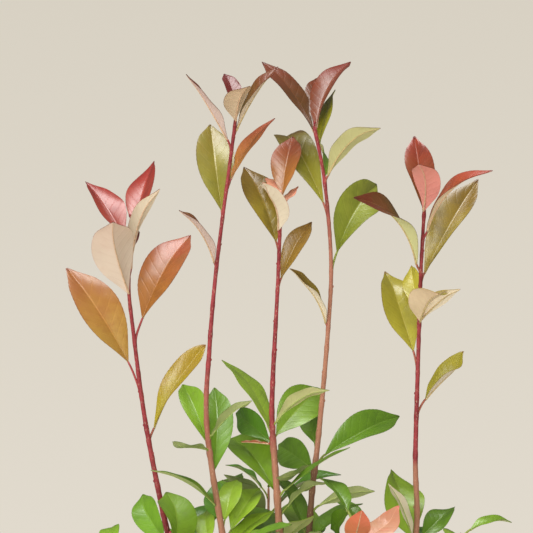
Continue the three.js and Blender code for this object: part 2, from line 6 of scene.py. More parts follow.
import math
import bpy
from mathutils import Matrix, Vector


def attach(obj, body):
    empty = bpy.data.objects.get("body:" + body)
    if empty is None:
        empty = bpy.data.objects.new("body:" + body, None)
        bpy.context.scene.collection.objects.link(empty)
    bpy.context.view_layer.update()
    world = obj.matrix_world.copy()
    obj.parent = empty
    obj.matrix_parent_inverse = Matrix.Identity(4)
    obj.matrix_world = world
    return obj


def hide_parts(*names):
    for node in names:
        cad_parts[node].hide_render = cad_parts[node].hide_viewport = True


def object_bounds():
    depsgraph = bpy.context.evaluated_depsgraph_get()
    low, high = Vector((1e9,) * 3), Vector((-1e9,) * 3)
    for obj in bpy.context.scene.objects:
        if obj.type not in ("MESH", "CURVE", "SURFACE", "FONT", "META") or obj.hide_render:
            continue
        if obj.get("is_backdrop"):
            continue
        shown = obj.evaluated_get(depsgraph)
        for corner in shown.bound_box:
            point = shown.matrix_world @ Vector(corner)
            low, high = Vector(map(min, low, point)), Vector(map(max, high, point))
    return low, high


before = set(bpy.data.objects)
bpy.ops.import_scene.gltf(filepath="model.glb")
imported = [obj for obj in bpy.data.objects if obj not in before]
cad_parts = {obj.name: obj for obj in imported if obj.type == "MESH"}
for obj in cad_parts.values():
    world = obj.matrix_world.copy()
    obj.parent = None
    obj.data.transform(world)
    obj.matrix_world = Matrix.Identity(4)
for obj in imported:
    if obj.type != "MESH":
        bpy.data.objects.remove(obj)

from types import SimpleNamespace

import bpy
import numpy as np
from mathutils import Vector, noise

cad_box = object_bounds()

MM = 0.001

# ---- Pot and soil ----

POT = SimpleNamespace(
    height=190, foot=74, shoulder=94, rim=104, rim_height=38, edge=3, step=4, wall=8, floor=10,
    drain=6, drain_circle=38, drains=3, sides=180, corner=2.2,
)
SOIL = SimpleNamespace(
    top=170, edge_drop=5, edge_width=8, gap=0.3, sides=220,
    bare_edge=5, bare_middle=17,  # where no loose crumbs lie
)

# ---- Wood ----

TRUNK = SimpleNamespace(
    route=[(0, 0, 170.3), (1.5, -1, 215), (1, 0, 260), (0, 0, 300)],
    heights=[163, 170.3, 174, 182, 198, 240, 300, 316],
    radii=[15.5, 14.5, 11.5, 9.5, 8.6, 7.6, 6.4, 5.5],
    sides=56, step=1.6,
    roots=5, root_turn=0.6, root_depth=2.2, root_heights=(186, 168),  # where they fade and are full
    relief=(1.1, 0.45), relief_heights=(170, 290), grain=np.array((0.42, 0.42, 0.07)),
)
STEM_SAMPLES = 12  # points along each stretch of a route
STEM_TAPER = 1.7  # a stem thins quickly near its foot and slowly further up
TWIG = SimpleNamespace(
    radius=(1.7, 0.9),  # foot, tip
    length=(46, 78),
    rise=(22, 55),  # low in the bush, high in the bush
    upturn=22, bare_foot=12, leaves=4,
    fan=(96, 74, 52),  # how far its leaves turn aside, from the foot up
    tip_turn=20,
)

# ---- Leaves ----

GOLDEN_ANGLE = 137.5
WIDTH_RATIO = 0.43  # of a bush leaf's length
BUSH_LEAF = SimpleNamespace(
    length=(54, 80), stalk=(7, 12),
    rise=(2, 40),  # low in the bush, high in the bush
    curl=(22, 48),
    turn=12, roll=25, tilt=11,  # the reach of each one's chance either way
)
SHOOT_FORM = dict(
    roll=0, fold=28, curl=25, twist=0, start=0.15, hook=0.02, sway=0, cup=0.3, belly=1.14, apex=0.3,
    foot=0.8, wave=0.6,
)
BUSH_FORM = dict(fold=16)
STALK_RISE = 80  # a stalk rises halfway between this and its blade

# ---- The bush's own limits ----

BUSH = SimpleNamespace(
    floor=197, ceiling=470, middle_rise=62, middle_reach=76, front_dip=44, front_reach=36,
    radius=156, leaf_clearance=6.5, mass_clearance=8.5, wood_clearance=3.2,
)
LIFT = SimpleNamespace(start=250, over=220)
WOOD_SAMPLE = 4
CLOUD = SimpleNamespace(along=10, across=(-0.95, -0.5, 0, 0.5, 0.95), near_stalk=10)
TRIES = [(0, 1), (28, 0.95), (-28, 0.9), (56, 0.82), (-56, 0.76), (12, 0.66)]  # turn, size

# ---- Limbs ----
# A leaf is (height on the stem, bearing, rise, length, width, stalk, upper tint, lower tint,
# extras). The ages are (height, age) along the stem: 0 is red and new, 1 is tan, 2 is grey bark.

LIMBS = [
    SimpleNamespace(
        name="left",
        route=[(0, 0, 236), (-45, 14, 330), (-80, 21, 420), (-106, 24, 535), (-119, 23, 628),
               (-122, 21, 664), (-120, 18, 716)],
        radius=(4.4, 1.4), foliage=dict(low=(284, 440), top=(527, 716)), seed=11,
        ages=[(240, 2), (330, 1.3), (400, 0.6), (455, 0.1), (716, 0)],
        leaves=[
            (534, 45, 46, 88, 28, 10, "ochre", "cream",
             dict(fold=40, curl=35, twist=-25, hook=-0.05, belly=1.35, apex=0)),
            (571, 168, 56, 92, 40, 28, "amber", "blush", dict(roll=55, curl=30, twist=-10)),
            (614, 46, 52, 87, 41, 20, "copper", "blush", dict(roll=-15, curl=30)),
            (641, 260, 43, 84, 40, 13, "red", "blush", dict(roll=-40, curl=35, twist=25)),
            (665, 312, 64, 72, 20, 8, "copper", "cream", dict(roll=-20, curl=35, twist=25, hook=0.05)),
            (678, 81, 31, 40, 11, 6, "garnet", "blush", dict(roll=15)),
            (688, 132, 43, 69, 35, 11, "crimson", "blush", dict(roll=15, fold=38, curl=10, twist=-25)),
            (696, 76, 42, 83, 30, 13, "crimson", "blush", dict(roll=10, fold=30, curl=0, twist=30)),
        ],
    ),
    SimpleNamespace(
        name="left_middle",
        route=[(0, 0, 254), (-20, -8, 312), (-33, -15, 385), (-46, -22, 465), (-58, -26, 549),
               (-56, -25, 610), (-50, -22, 679), (-38, -14, 772), (-35, -10, 797)],
        radius=(4.1, 1.35), foliage=dict(low=(306, 545), top=(670, 797)), seed=23,
        ages=[(254, 2), (400, 1.5), (500, 1.0), (545, 0.75), (600, 0.4), (690, 0.2), (797, 0)],
        leaves=[
            (451, 59, 37, 54, 28, 15, "light", "sage", dict(roll=-10, fold=35, curl=10, hook=0.05)),
            (463, 93, 23, 58, 28, 10, "deep", "sage", dict(roll=25, curl=5, twist=-15, hook=-0.1)),
            (483, 221, 26, 72, 20, 2, "green", "sage", dict(roll=35, fold=20, curl=30, twist=-35)),
            (505, 90, 54, 80, 28, 7, "green", "sage", dict(roll=-20, curl=35, twist=30)),
            (527, 117, 45, 65, 28, 7, "fresh", "sage", dict(roll=20, fold=45, curl=40)),
            (528, 230, 2, 39, 18, 3, "green", "sage", dict(roll=-10, fold=10, curl=20, hook=-0.15)),
            (537, 314, 33, 54, 16, 4, "green", "sage", dict(roll=-25, curl=20, twist=45)),
            (674, 242, 37, 68, 22, 4, "umber", "rose", dict(roll=50, fold=35, twist=-15)),
            (713, 103, 58, 84, 34, 6, "olive", "cream", dict(roll=15, curl=30, twist=-20)),
            (735, 41, 48, 68, 21, 10, "copper", "blush", dict(roll=5, fold=15)),
            (767, 225, 49, 67, 20, 9, "umber", "rose", dict(roll=15, curl=5, twist=25)),
            (778, 28, 55, 64, 25, 5, "bronze", "cream", dict(roll=25, curl=15, twist=-35)),
            (787, 286, 38, 41, 28, 4, "russet", "tan", dict(roll=-20, fold=35, curl=35)),
            (797, 112, 52, 39, 16, 2, "garnet", "blush", dict(roll=-10, fold=30, curl=40, twist=15)),
        ],
    ),
    SimpleNamespace(
        name="middle",
        route=[(0, 0, 300), (3, -2, 390), (-1, -6, 473), (-6, -6, 545), (-6, -5, 580),
               (-2, -4, 657), (1, -4, 730)],
        radius=(5.0, 1.35), foliage=dict(low=(326, 556), top=(654, 730)), seed=37,
        ages=[(300, 2), (420, 1.5), (510, 1.0), (545, 0.6), (585, 0.3), (650, 0.15), (730, 0)],
        leaves=[
            (443, 111, 22, 85, 33, 3, "green", "sage", dict(fold=20, curl=20)),
            (488, 335, 33, 66, 16, 9, "green", "pale", dict(roll=-25, fold=10, curl=15, twist=10)),
            (492, 122, 30, 80, 38, 2, "fresh", "sage", dict(roll=20, fold=40, curl=55, twist=10)),
            (529, 123, 22, 56, 22, 6, "deep", "sage", dict(roll=45, fold=20, curl=35, twist=50)),
            (531, 185, 4, 22, 6, 3, "coral", "coral_under", dict(fold=40, curl=0)),
            (535, 52, 32, 68, 35, 5, "fresh", "pale", dict(roll=-35, fold=20, twist=-15)),
            (538, 138, 47, 73, 38, 8, "light", "pale", dict(roll=-15, fold=5, curl=40)),
            (547, 327, 29, 57, 19, 3, "green", "pale", dict(roll=10, fold=20, curl=50, twist=15)),
            (656, 55, 47, 63, 20, 10, "khaki", "cream", dict(roll=-15, fold=30, curl=30)),
            (686, 126, 55, 75, 35, 9, "moss", "cream", dict(roll=5, fold=20)),
            (700, 247, 38, 54, 28, 4, "salmon", "cream",
             dict(roll=40, fold=35, curl=55, twist=-25, hook=-0.1)),
            (717, 60, 32, 25, 9, 11, "salmon", "blush", dict(fold=15, curl=0, twist=20)),
            (721, 78, 50, 65, 27, 11, "copper", "blush", dict(roll=10, curl=15, twist=-10)),
            (729, 110, 27, 35, 11, 2, "salmon", "blush", dict(roll=10, fold=15, twist=-20)),
        ],
    ),
    SimpleNamespace(
        name="right_middle",
        route=[(0, 0, 262), (17, 8, 322), (20, 8, 400), (25, 7, 486), (31, 8, 540), (38, 7, 617),
               (41, 6, 677), (36, 5, 742), (27, 1, 790)],
        radius=(4.1, 1.35), foliage=dict(low=(312, 538), top=(622, 790)), seed=41,
        ages=[(262, 2), (470, 1.8), (540, 1.3), (600, 1.0), (690, 0.75), (735, 0.45), (790, 0)],
        leaves=[
            (443, 100, 20, 87, 34, 2, "fresh", "sage",
             dict(roll=-25, fold=5, curl=45, twist=25, hook=-0.05)),
            (476, 0, 16, 46, 12, 8, "green", "sage", dict(roll=60, fold=15, curl=45, hook=0.05)),
            (510, 115, 14, 68, 26, 2, "green", "sage", dict(roll=50, fold=15, curl=10, twist=20)),
            (511, 37, 21, 83, 36, 15, "green", "sage", dict(roll=-30, fold=40, curl=15, twist=-15)),
            (514, 233, -12, 46, 16, 2, "green", "sage", dict(roll=-40, fold=10, curl=-10, hook=-0.05)),
            (520, 94, 42, 54, 21, 13, "green", "sage", dict(roll=40, fold=15, hook=0.1)),
            (626, 218, 46, 58, 18, 3, "moss", "cream",
             dict(roll=30, fold=45, curl=45, twist=25, hook=-0.05)),
            (671, 55, 45, 82, 41, 17, "grass", "sage",
             dict(roll=-20, fold=40, curl=45, twist=-60, hook=0.05)),
            (711, 117, 39, 106, 31, 17, "singed", "pale",
             dict(roll=25, fold=30, curl=65, twist=-15, hook=0.2)),
            (741, 95, 33, 51, 16, 7, "fresh", "pale", dict(roll=-55, fold=25, twist=-15)),
            (743, 312, 32, 70, 25, 5, "olive", "pale", dict(fold=15, curl=55, twist=15)),
            (771, 71, 49, 61, 23, 2, "verdant", "pale", dict(roll=25, fold=20, curl=15, twist=25)),
            (778, 135, 46, 83, 27, 5, "umber", "blush", dict(roll=-10, fold=10, twist=20)),
            (781, 89, 40, 73, 18, 2, "umber", "pale", dict(roll=20, twist=-30)),
            (784, 64, 42, 86, 33, 2, "russet", "blush", dict(roll=30, fold=30, curl=30, twist=-25)),
        ],
    ),
    SimpleNamespace(
        name="right",
        route=[(0, 0, 250), (62, 10, 330), (100, 16, 410), (110, 16, 465), (109, 14, 522),
               (111, 10, 600), (113, 6, 671), (116, 3, 728)],
        radius=(4.2, 1.4), foliage=dict(low=(288, 472), top=(553, 728)), seed=53,
        ages=[(250, 2), (440, 1.5), (470, 1.1), (515, 0.8), (524, 0.25), (600, 0.05), (728, 0)],
        leaves=[
            (447, 38, 32, 43, 24, 10, "green", "sage", dict(roll=-45, twist=55)),
            (449, 119, 58, 65, 40, 5, "light", "pale", dict(roll=30, curl=15, twist=-60, hook=0.05)),
            (450, 222, 60, 52, 16, 6, "fresh", "cream", dict(roll=15, fold=15, curl=20, twist=-10)),
            (555, 22, 39, 51, 30, 14, "citron", "cream",
             dict(roll=10, fold=40, curl=15, twist=-35, hook=-0.15)),
            (590, 121, 60, 80, 37, 17, "citron", "cream",
             dict(roll=25, fold=30, curl=0, twist=-30, hook=0.15)),
            (628, 282, 23, 60, 36, 3, "citron", "tan", dict(roll=-15, fold=40, twist=35)),
            (629, 307, 28, 53, 18, 4, "citron", "cream", dict(roll=20, fold=30, curl=25, twist=-10)),
            (633, 96, 44, 56, 21, 4, "citron", "cream", dict(roll=20, fold=40, curl=15, twist=35)),
            (660, 44, 51, 100, 38, 10, "moss", "tan", dict(roll=-5, fold=40, curl=0, twist=-20)),
            (670, 212, 42, 80, 33, 7, "bronze", "pale", dict(roll=10, curl=70, twist=45)),
            (696, 322, 40, 78, 26, 7, "red", "tan", dict(roll=-35, curl=55, hook=0.05)),
            (716, 101, 65, 67, 30, 4, "red", "blush", dict(roll=-10, fold=40, curl=0, twist=30)),
            (716, 262, 44, 53, 25, 3, "red", "pink", dict(roll=30, fold=20, curl=50, twist=-25)),
        ],
    ),
    SimpleNamespace(
        name="front_left",
        route=[(0, 0, 214), (-44, -38, 300), (-74, -52, 380), (-86, -48, 450), (-87, -46, 466)],
        radius=(4.0, 1.5), foliage=dict(low=(266, 466)), seed=61,
        leaves=[
            (441, 95, 38, 75, 35, 7, "fresh", "sage", dict(roll=-55, fold=20, curl=40, twist=60)),
            (448, 125, 41, 55, 24, 11, "green", "sage",
             dict(roll=70, fold=20, curl=35, twist=-25, hook=0.1)),
        ],
    ),
    SimpleNamespace(
        name="front",
        route=[(0, 0, 244), (-12, -46, 318), (-22, -64, 390), (-26, -62, 448)],
        radius=(3.8, 1.5), foliage=dict(low=(292, 448)), seed=67, leaves=[],
    ),
    SimpleNamespace(
        name="front_right",
        route=[(0, 0, 232), (28, -48, 305), (48, -62, 385), (56, -54, 450), (57, -52, 474)],
        radius=(4.0, 1.5), foliage=dict(low=(274, 474)), seed=71,
        leaves=[
            (445, 35, 28, 43, 24, 16, "coral", "coral_under", dict(roll=-20, fold=5, curl=0, hook=-0.2)),
            (449, 277, 33, 51, 20, 7, "coral", "coral_under",
             dict(roll=10, fold=15, curl=15, hook=-0.1)),
            (474, 106, -19, 51, 19, 14, "green", "sage", dict(roll=75, fold=15, curl=-10, twist=35)),
            (474, 127, 34, 44, 25, 10, "green", "sage", dict(roll=-10, curl=35)),
        ],
    ),
    SimpleNamespace(
        name="right_side",
        route=[(0, 0, 206), (62, -14, 276), (112, -26, 350), (136, -22, 430), (142, -18, 462)],
        radius=(4.0, 1.5), foliage=dict(low=(262, 462)), seed=83,
        leaves=[
            (443, 84, 9, 56, 30, 7, "light", "sage", dict(roll=-20, fold=20)),
            (455, 28, 7, 39, 16, 15, "fresh", "sage", dict(roll=-15, fold=30, curl=45)),
        ],
    ),
    SimpleNamespace(
        name="back_right",
        route=[(0, 0, 228), (42, 42, 300), (68, 68, 400), (74, 74, 446)],
        radius=(3.9, 1.5), foliage=dict(low=(284, 446)), seed=97, leaves=[],
    ),
    SimpleNamespace(
        name="back",
        route=[(0, 0, 248), (-6, 52, 318), (-8, 80, 390), (-10, 90, 450)],
        radius=(3.9, 1.5), foliage=dict(low=(292, 450)), seed=101, leaves=[],
    ),
    SimpleNamespace(
        name="back_left",
        route=[(0, 0, 222), (-46, 46, 300), (-72, 74, 375), (-78, 84, 436)],
        radius=(4.0, 1.5), foliage=dict(low=(268, 436)), seed=109, leaves=[],
    ),
    SimpleNamespace(
        name="left_side",
        route=[(0, 0, 200), (-62, -12, 268), (-106, -22, 340), (-120, -24, 408)],
        radius=(4.0, 1.5), foliage=dict(low=(254, 408)), seed=127, leaves=[],
    ),
]
SIDE_AGES = [(200, 2), (300, 1.6), (400, 1.1), (480, 0.6)]

# ---- Small tools ----


def heading(bearing, rise):
    turn, lift = math.radians(bearing), math.radians(rise)
    level = math.cos(lift)
    return np.array([level * math.cos(turn), level * math.sin(turn), math.sin(lift)])


def unit(vector):
    return vector / np.linalg.norm(vector, axis=-1, keepdims=True)


def lerp(low, high, share):
    return low + (high - low) * share


def smooth(low, high, value):
    share = np.clip((value - low) / (high - low), 0, 1)
    return share * share * (3 - 2 * share)


def seeded_random(seed):
    """Repeatable numbers from 0 to 1."""
    mask = 0xFFFFFFFF
    state = seed

    def draw():
        nonlocal state
        state = (state + 0x6D2B79F5) & mask
        mixed = ((state ^ (state >> 15)) * (1 | state)) & mask
        mixed = ((mixed + (((mixed ^ (mixed >> 7)) * (61 | mixed)) & mask)) & mask) ^ mixed
        return (mixed ^ (mixed >> 14)) / 4294967296

    return draw


def between(limits, random):
    return lerp(*limits, random())


def spread(reach, random):
    return lerp(-reach, reach, random())


# ---- Stems ----


def make_stem(route, radius):
    """A smooth line through the route, as close points with their length along it."""
    route = np.array(route, float)
    last = len(route) - 1
    padded = np.vstack([2 * route[0] - route[1], route, 2 * route[last] - route[last - 1]])
    count = last * STEM_SAMPLES
    points = []
    for i in range(count + 1):
        place = last * (i / count)
        k = min(int(place), last - 1)
        w = place - k
        p0, p1, p2, p3 = padded[k:k + 4]
        t0, t1 = 0.5 * (p2 - p0), 0.5 * (p3 - p1)
        points.append(
            p1 + t0 * w + (-3 * p1 + 3 * p2 - 2 * t0 - t1) * w**2 + (2 * p1 - 2 * p2 + t0 + t1) * w**3
        )
    points = np.array(points)
    steps = np.linalg.norm(np.diff(points, axis=0), axis=1)
    lengths = np.concatenate([[0], np.cumsum(steps)])
    return SimpleNamespace(points=points, lengths=lengths, total=lengths[-1], radius=radius)


def stem_radius(stem, length):
    """A stem thins quickly near its foot and slowly further up."""
    foot, tip = stem.radius
    return lerp(tip, foot, (1 - length / stem.total) ** STEM_TAPER)


def stem_place(stem, measures, value):
    i = 1
    while i < len(measures) - 1 and measures[i] < value:
        i += 1
    share = min(1, max(0, (value - measures[i - 1]) / (measures[i] - measures[i - 1])))
    length = lerp(stem.lengths[i - 1], stem.lengths[i], share)
    return SimpleNamespace(
        point=lerp(stem.points[i - 1], stem.points[i], share),
        tangent=unit(stem.points[i] - stem.points[i - 1]),
        radius=stem_radius(stem, length),
        length=length,
    )


def at_length(stem, length):
    return stem_place(stem, stem.lengths, length)


def at_height(stem, height):
    return stem_place(stem, stem.points[:, 2], height)


# ---- Leaves as the growth rule sees them ----


def outline(t):
    """A blade's half width as a share of the widest, from its base (0) to its tip (1)."""
    return np.maximum(np.sin(np.pi * t**1.12), 0) ** 0.8


def leaf_axes(leaf):
    """Axes of a leaf: along its chord, to its side, and out of its upper face."""
    along = heading(leaf.bearing, leaf.rise)
    turn = math.radians(leaf.bearing)
    side = np.array([math.sin(turn), -math.cos(turn), 0.0])
    face = np.cross(side, along)
    roll = math.radians(leaf.roll)
    return (
        along,
        side * math.cos(roll) + face * math.sin(roll),
        face * math.cos(roll) - side * math.sin(roll),
    )


def blade_points(leaf, t, v):
    """Points at t along the blade and v across it, from -1 to 1."""
    along, side, face = leaf_axes(leaf)
    bend, fold = math.radians(leaf.curl), math.radians(leaf.fold)
    t, v = np.asarray(t, float)[..., None], np.asarray(v, float)[..., None]
    slope = (bend / 2) * (1 - 2 * t)
    upper = face * np.cos(slope) - along * np.sin(slope)
    half = (leaf.width / 2) * outline(t) * v
    return (
        leaf.base + along * leaf.length * t + face * (bend * leaf.length * t * (1 - t) / 2)
        + side * half * math.cos(fold) + upper * np.abs(half) * math.sin(fold)
    )


def make_leaf(place, kind, bearing, rise, length, width, stalk, **form):
    """A leaf on a stem: its stalk rises steeper than the blade and starts at the stem's middle."""
    reach = place.radius + stalk
    base = place.point + heading(bearing, (rise + STALK_RISE) / 2) * reach
    return SimpleNamespace(
        kind=kind, root=place.point, base=base, bearing=bearing, rise=rise, length=length,
        width=width, stem_radius=place.radius, stem_tangent=place.tangent, **form,
    )


CLOUD_T = np.repeat(np.arange(1, CLOUD.along + 1) / CLOUD.along, len(CLOUD.across))
CLOUD_V = np.tile(CLOUD.across, CLOUD.along)


def leaf_cloud(leaf):
    """Points spread over a blade, which stand for it in the tests for room."""
    return blade_points(leaf, CLOUD_T, CLOUD_V)


def within_bush(points):
    lift = np.maximum(0, 1 - (points[:, 0] / BUSH.middle_reach) ** 2)
    dip = np.clip(-points[:, 1] / BUSH.front_reach, 0, 1)
    ceiling = BUSH.ceiling + BUSH.middle_rise * lift - BUSH.front_dip * dip
    level = np.hypot(points[:, 0], points[:, 1])
    return np.all((points[:, 2] > BUSH.floor) & (points[:, 2] < ceiling) & (level < BUSH.radius))


class Room:
    """The places that blades and stems have taken."""

    def __init__(self):
        self.clouds, self.centres, self.reaches, self.masses = [], [], [], []
        self.wood, self.wood_radii, self.owners = [], [], []
        self.leaf_clearance, self.mass_clearance = BUSH.leaf_clearance, BUSH.mass_clearance

    def claim_leaf(self, mass, cloud):
        centre = cloud.mean(axis=0)
        self.clouds.append(cloud)
        self.centres.append(centre)
        self.reaches.append(np.linalg.norm(cloud - centre, axis=1).max())
        self.masses.append(mass)

    def claim_stem(self, owner, stem, start=0):
        length = start
        while length <= stem.total:
            place = at_length(stem, length)
            self.wood.append(place.point)
            self.wood_radii.append(place.radius)
            self.owners.append(owner)
            length += WOOD_SAMPLE

    def clear_of_leaves(self, mass, cloud):
        centre = cloud.mean(axis=0)
        reach = np.linalg.norm(cloud - centre, axis=1).max()
        own = np.array([m == mass for m in self.masses])
        clearance = np.where(own, self.leaf_clearance, self.mass_clearance)
        far = np.linalg.norm(np.array(self.centres) - centre, axis=1)
        for i in np.nonzero(far < reach + np.array(self.reaches) + clearance)[0]:
            apart = np.linalg.norm(cloud[:, None] - self.clouds[i][None], axis=2)
            if apart.min() <= clearance[i]:
                return False
        return True

    def clear_of_wood(self, cloud, owner, own_points):
        """The first points of a leaf's cloud may be near the stem that it grows on."""
        wood, limit = np.array(self.wood), np.array(self.wood_radii) + BUSH.wood_clearance
        centre = cloud.mean(axis=0)
        reach = np.linalg.norm(cloud - centre, axis=1).max()
        near = np.nonzero(np.linalg.norm(wood - centre, axis=1) < reach + limit)[0]
        if not len(near):
            return True
        apart = np.linalg.norm(cloud[:, None] - wood[near][None], axis=2)
        clear = apart > limit[near][None]
        own = np.array([self.owners[i] == owner for i in near])
        clear[:own_points, own] = True
        return bool(clear.all())


room = Room()

# ---- Growth ----

# Each pass climbs every low stem: its steps, which turns bear a twig, how far twigs and leaves
# stand aside from the turn's bearing, and the lengths of its twigs and leaves.
FIRST = SimpleNamespace(
    start=8, step=19, twig_turn=0, twig_aside=TWIG.tip_turn, leaf_aside=0,
    twig=TWIG.length, leaf=BUSH_LEAF.length,
)
FINER = SimpleNamespace(
    seed=5000, start=4, step=12, twig_turn=1, twig_aside=0, leaf_aside=60, twig=(34, 60), leaf=(40, 66),
    leaf_clearance=3.6, mass_clearance=4.2,
    on_twigs=(0.4, 0.65, 0.9),  # where along each twig it tries a leaf more
)


def grow_leaf(mass, owner, place, bearing, lift, random, sizes):
    """Tries a leaf at a place on a stem, turned and smaller each time, until one has room."""
    aside = bearing + spread(BUSH_LEAF.turn, random)
    length = between(sizes, random)
    stalk = between(BUSH_LEAF.stalk, random)
    curl = between(BUSH_LEAF.curl, random)
    roll = spread(BUSH_LEAF.roll, random)
    rise = lerp(*BUSH_LEAF.rise, lift) + spread(BUSH_LEAF.tilt, random)
    for turn, scale in TRIES:
        size = length * scale
        leaf = make_leaf(
            place, "bush", aside + turn, rise, size, size * WIDTH_RATIO, stalk,
            curl=curl, roll=roll, **BUSH_FORM,
        )
        cloud = leaf_cloud(leaf)
        inside = within_bush(cloud) and room.clear_of_wood(cloud, owner, CLOUD.near_stalk)
        if inside and room.clear_of_leaves(mass.name, cloud):
            room.claim_leaf(mass.name, cloud)
            leaf.spray = owner
            mass.leaves.append(leaf)
            return True
    return False


def grow_twig(mass, owner, place, bearing, lift, random, growth):
    """A side twig with leaves by turns to its left and right, and one at its tip."""
    half = between(growth.twig, random) / 2
    rise = lerp(*TWIG.rise, lift)
    middle = place.point + heading(bearing, rise) * half
    tip = middle + heading(bearing, rise + TWIG.upturn) * half
    twig = make_stem([place.point, middle, tip], TWIG.radius)
    twig.reach = 0  # how far along it the last leaf sits
    outer = twig.points[twig.lengths > TWIG.bare_foot]
    free = within_bush(outer) and room.clear_of_wood(outer, owner, 0)
    if not free or not room.clear_of_leaves(mass.name, outer):
        return
    name = f"{mass.name}_twig_{len(mass.twigs)}"
    mass.twigs.append(twig)
    room.claim_stem(name, twig, TWIG.bare_foot)
    for k in range(1, TWIG.leaves + 1):
        turn = TWIG.tip_turn if k == TWIG.leaves else (1 if k % 2 else -1) * TWIG.fan[k - 1]
        node = at_length(twig, (twig.total * k) / TWIG.leaves)
        if grow_leaf(mass, name, node, bearing + turn, lift, random, growth.leaf):
            twig.reach = node.length


def lift_at(place):
    return min(1, max(0, (place.point[2] - LIFT.start) / LIFT.over))


def climb(mass, limb, growth, random):
    """Leaves and twigs by turns up a stem, each a golden angle on from the one below."""
    low, high = (at_height(limb.stem, height).length for height in limb.foliage["low"])
    bearing = random() * 360
    turns = 0
    length = low + growth.start
    while length < high:
        place = at_length(limb.stem, length)
        lift = lift_at(place)
        if turns % 2 == growth.twig_turn:
            grow_twig(mass, limb.name, place, bearing + growth.twig_aside, lift, random, growth)
        grow_leaf(mass, limb.name, place, bearing + growth.leaf_aside, lift, random, growth.leaf)
        bearing += GOLDEN_ANGLE
        turns += 1
        length += growth.step


def fill_twigs(mass, random):
    """More leaves between those that the twigs already bear."""
    for twig in list(mass.twigs):
        for share in FINER.on_twigs:
            node = at_length(twig, twig.total * share)
            if grow_leaf(mass, "finer", node, random() * 360, lift_at(node), random, FINER.leaf):
                twig.reach = max(twig.reach, node.length)


def add_named_leaves(limb, mass, low, high):
    """The leaves that have a row each, between two heights on their stem."""
    for height, bearing, rise, length, width, stalk, tint, under, extras in limb.leaves:
        if not low <= height <= high:
            continue
        place = at_height(limb.stem, height)
        form = {**SHOOT_FORM, **extras}
        leaf = make_leaf(place, "shoot", bearing, rise, length, width, stalk, **form)
        leaf.tint, leaf.under = tint, under
        mass.leaves.append(leaf)
        room.claim_leaf(mass.name, leaf_cloud(leaf))


for limb in LIMBS:
    limb.stem = make_stem(limb.route, limb.radius)
    limb.masses = {}
    limb.ages = getattr(limb, "ages", SIDE_AGES)
    room.claim_stem(limb.name, limb.stem)
for limb in LIMBS:
    for part, (low, high) in limb.foliage.items():
        mass = SimpleNamespace(name=f"{limb.name}_{part}_foliage", leaves=[], twigs=[])
        add_named_leaves(limb, mass, low, high)
        limb.masses[part] = mass
for limb in LIMBS:
    climb(limb.masses["low"], limb, FIRST, seeded_random(limb.seed))
room.leaf_clearance, room.mass_clearance = FINER.leaf_clearance, FINER.mass_clearance
for limb in LIMBS:
    random = seeded_random(limb.seed + FINER.seed)
    climb(limb.masses["low"], limb, FINER, random)
    fill_twigs(limb.masses["low"], random)

# ---- Materials ----


def linear(colour):
    """An sRGB colour in 0 to 255 as linear light, with alpha."""
    share = np.array(colour) / 255
    light = np.where(share <= 0.04045, share / 12.92, ((share + 0.055) / 1.055) ** 2.4)
    return (*light, 1.0)


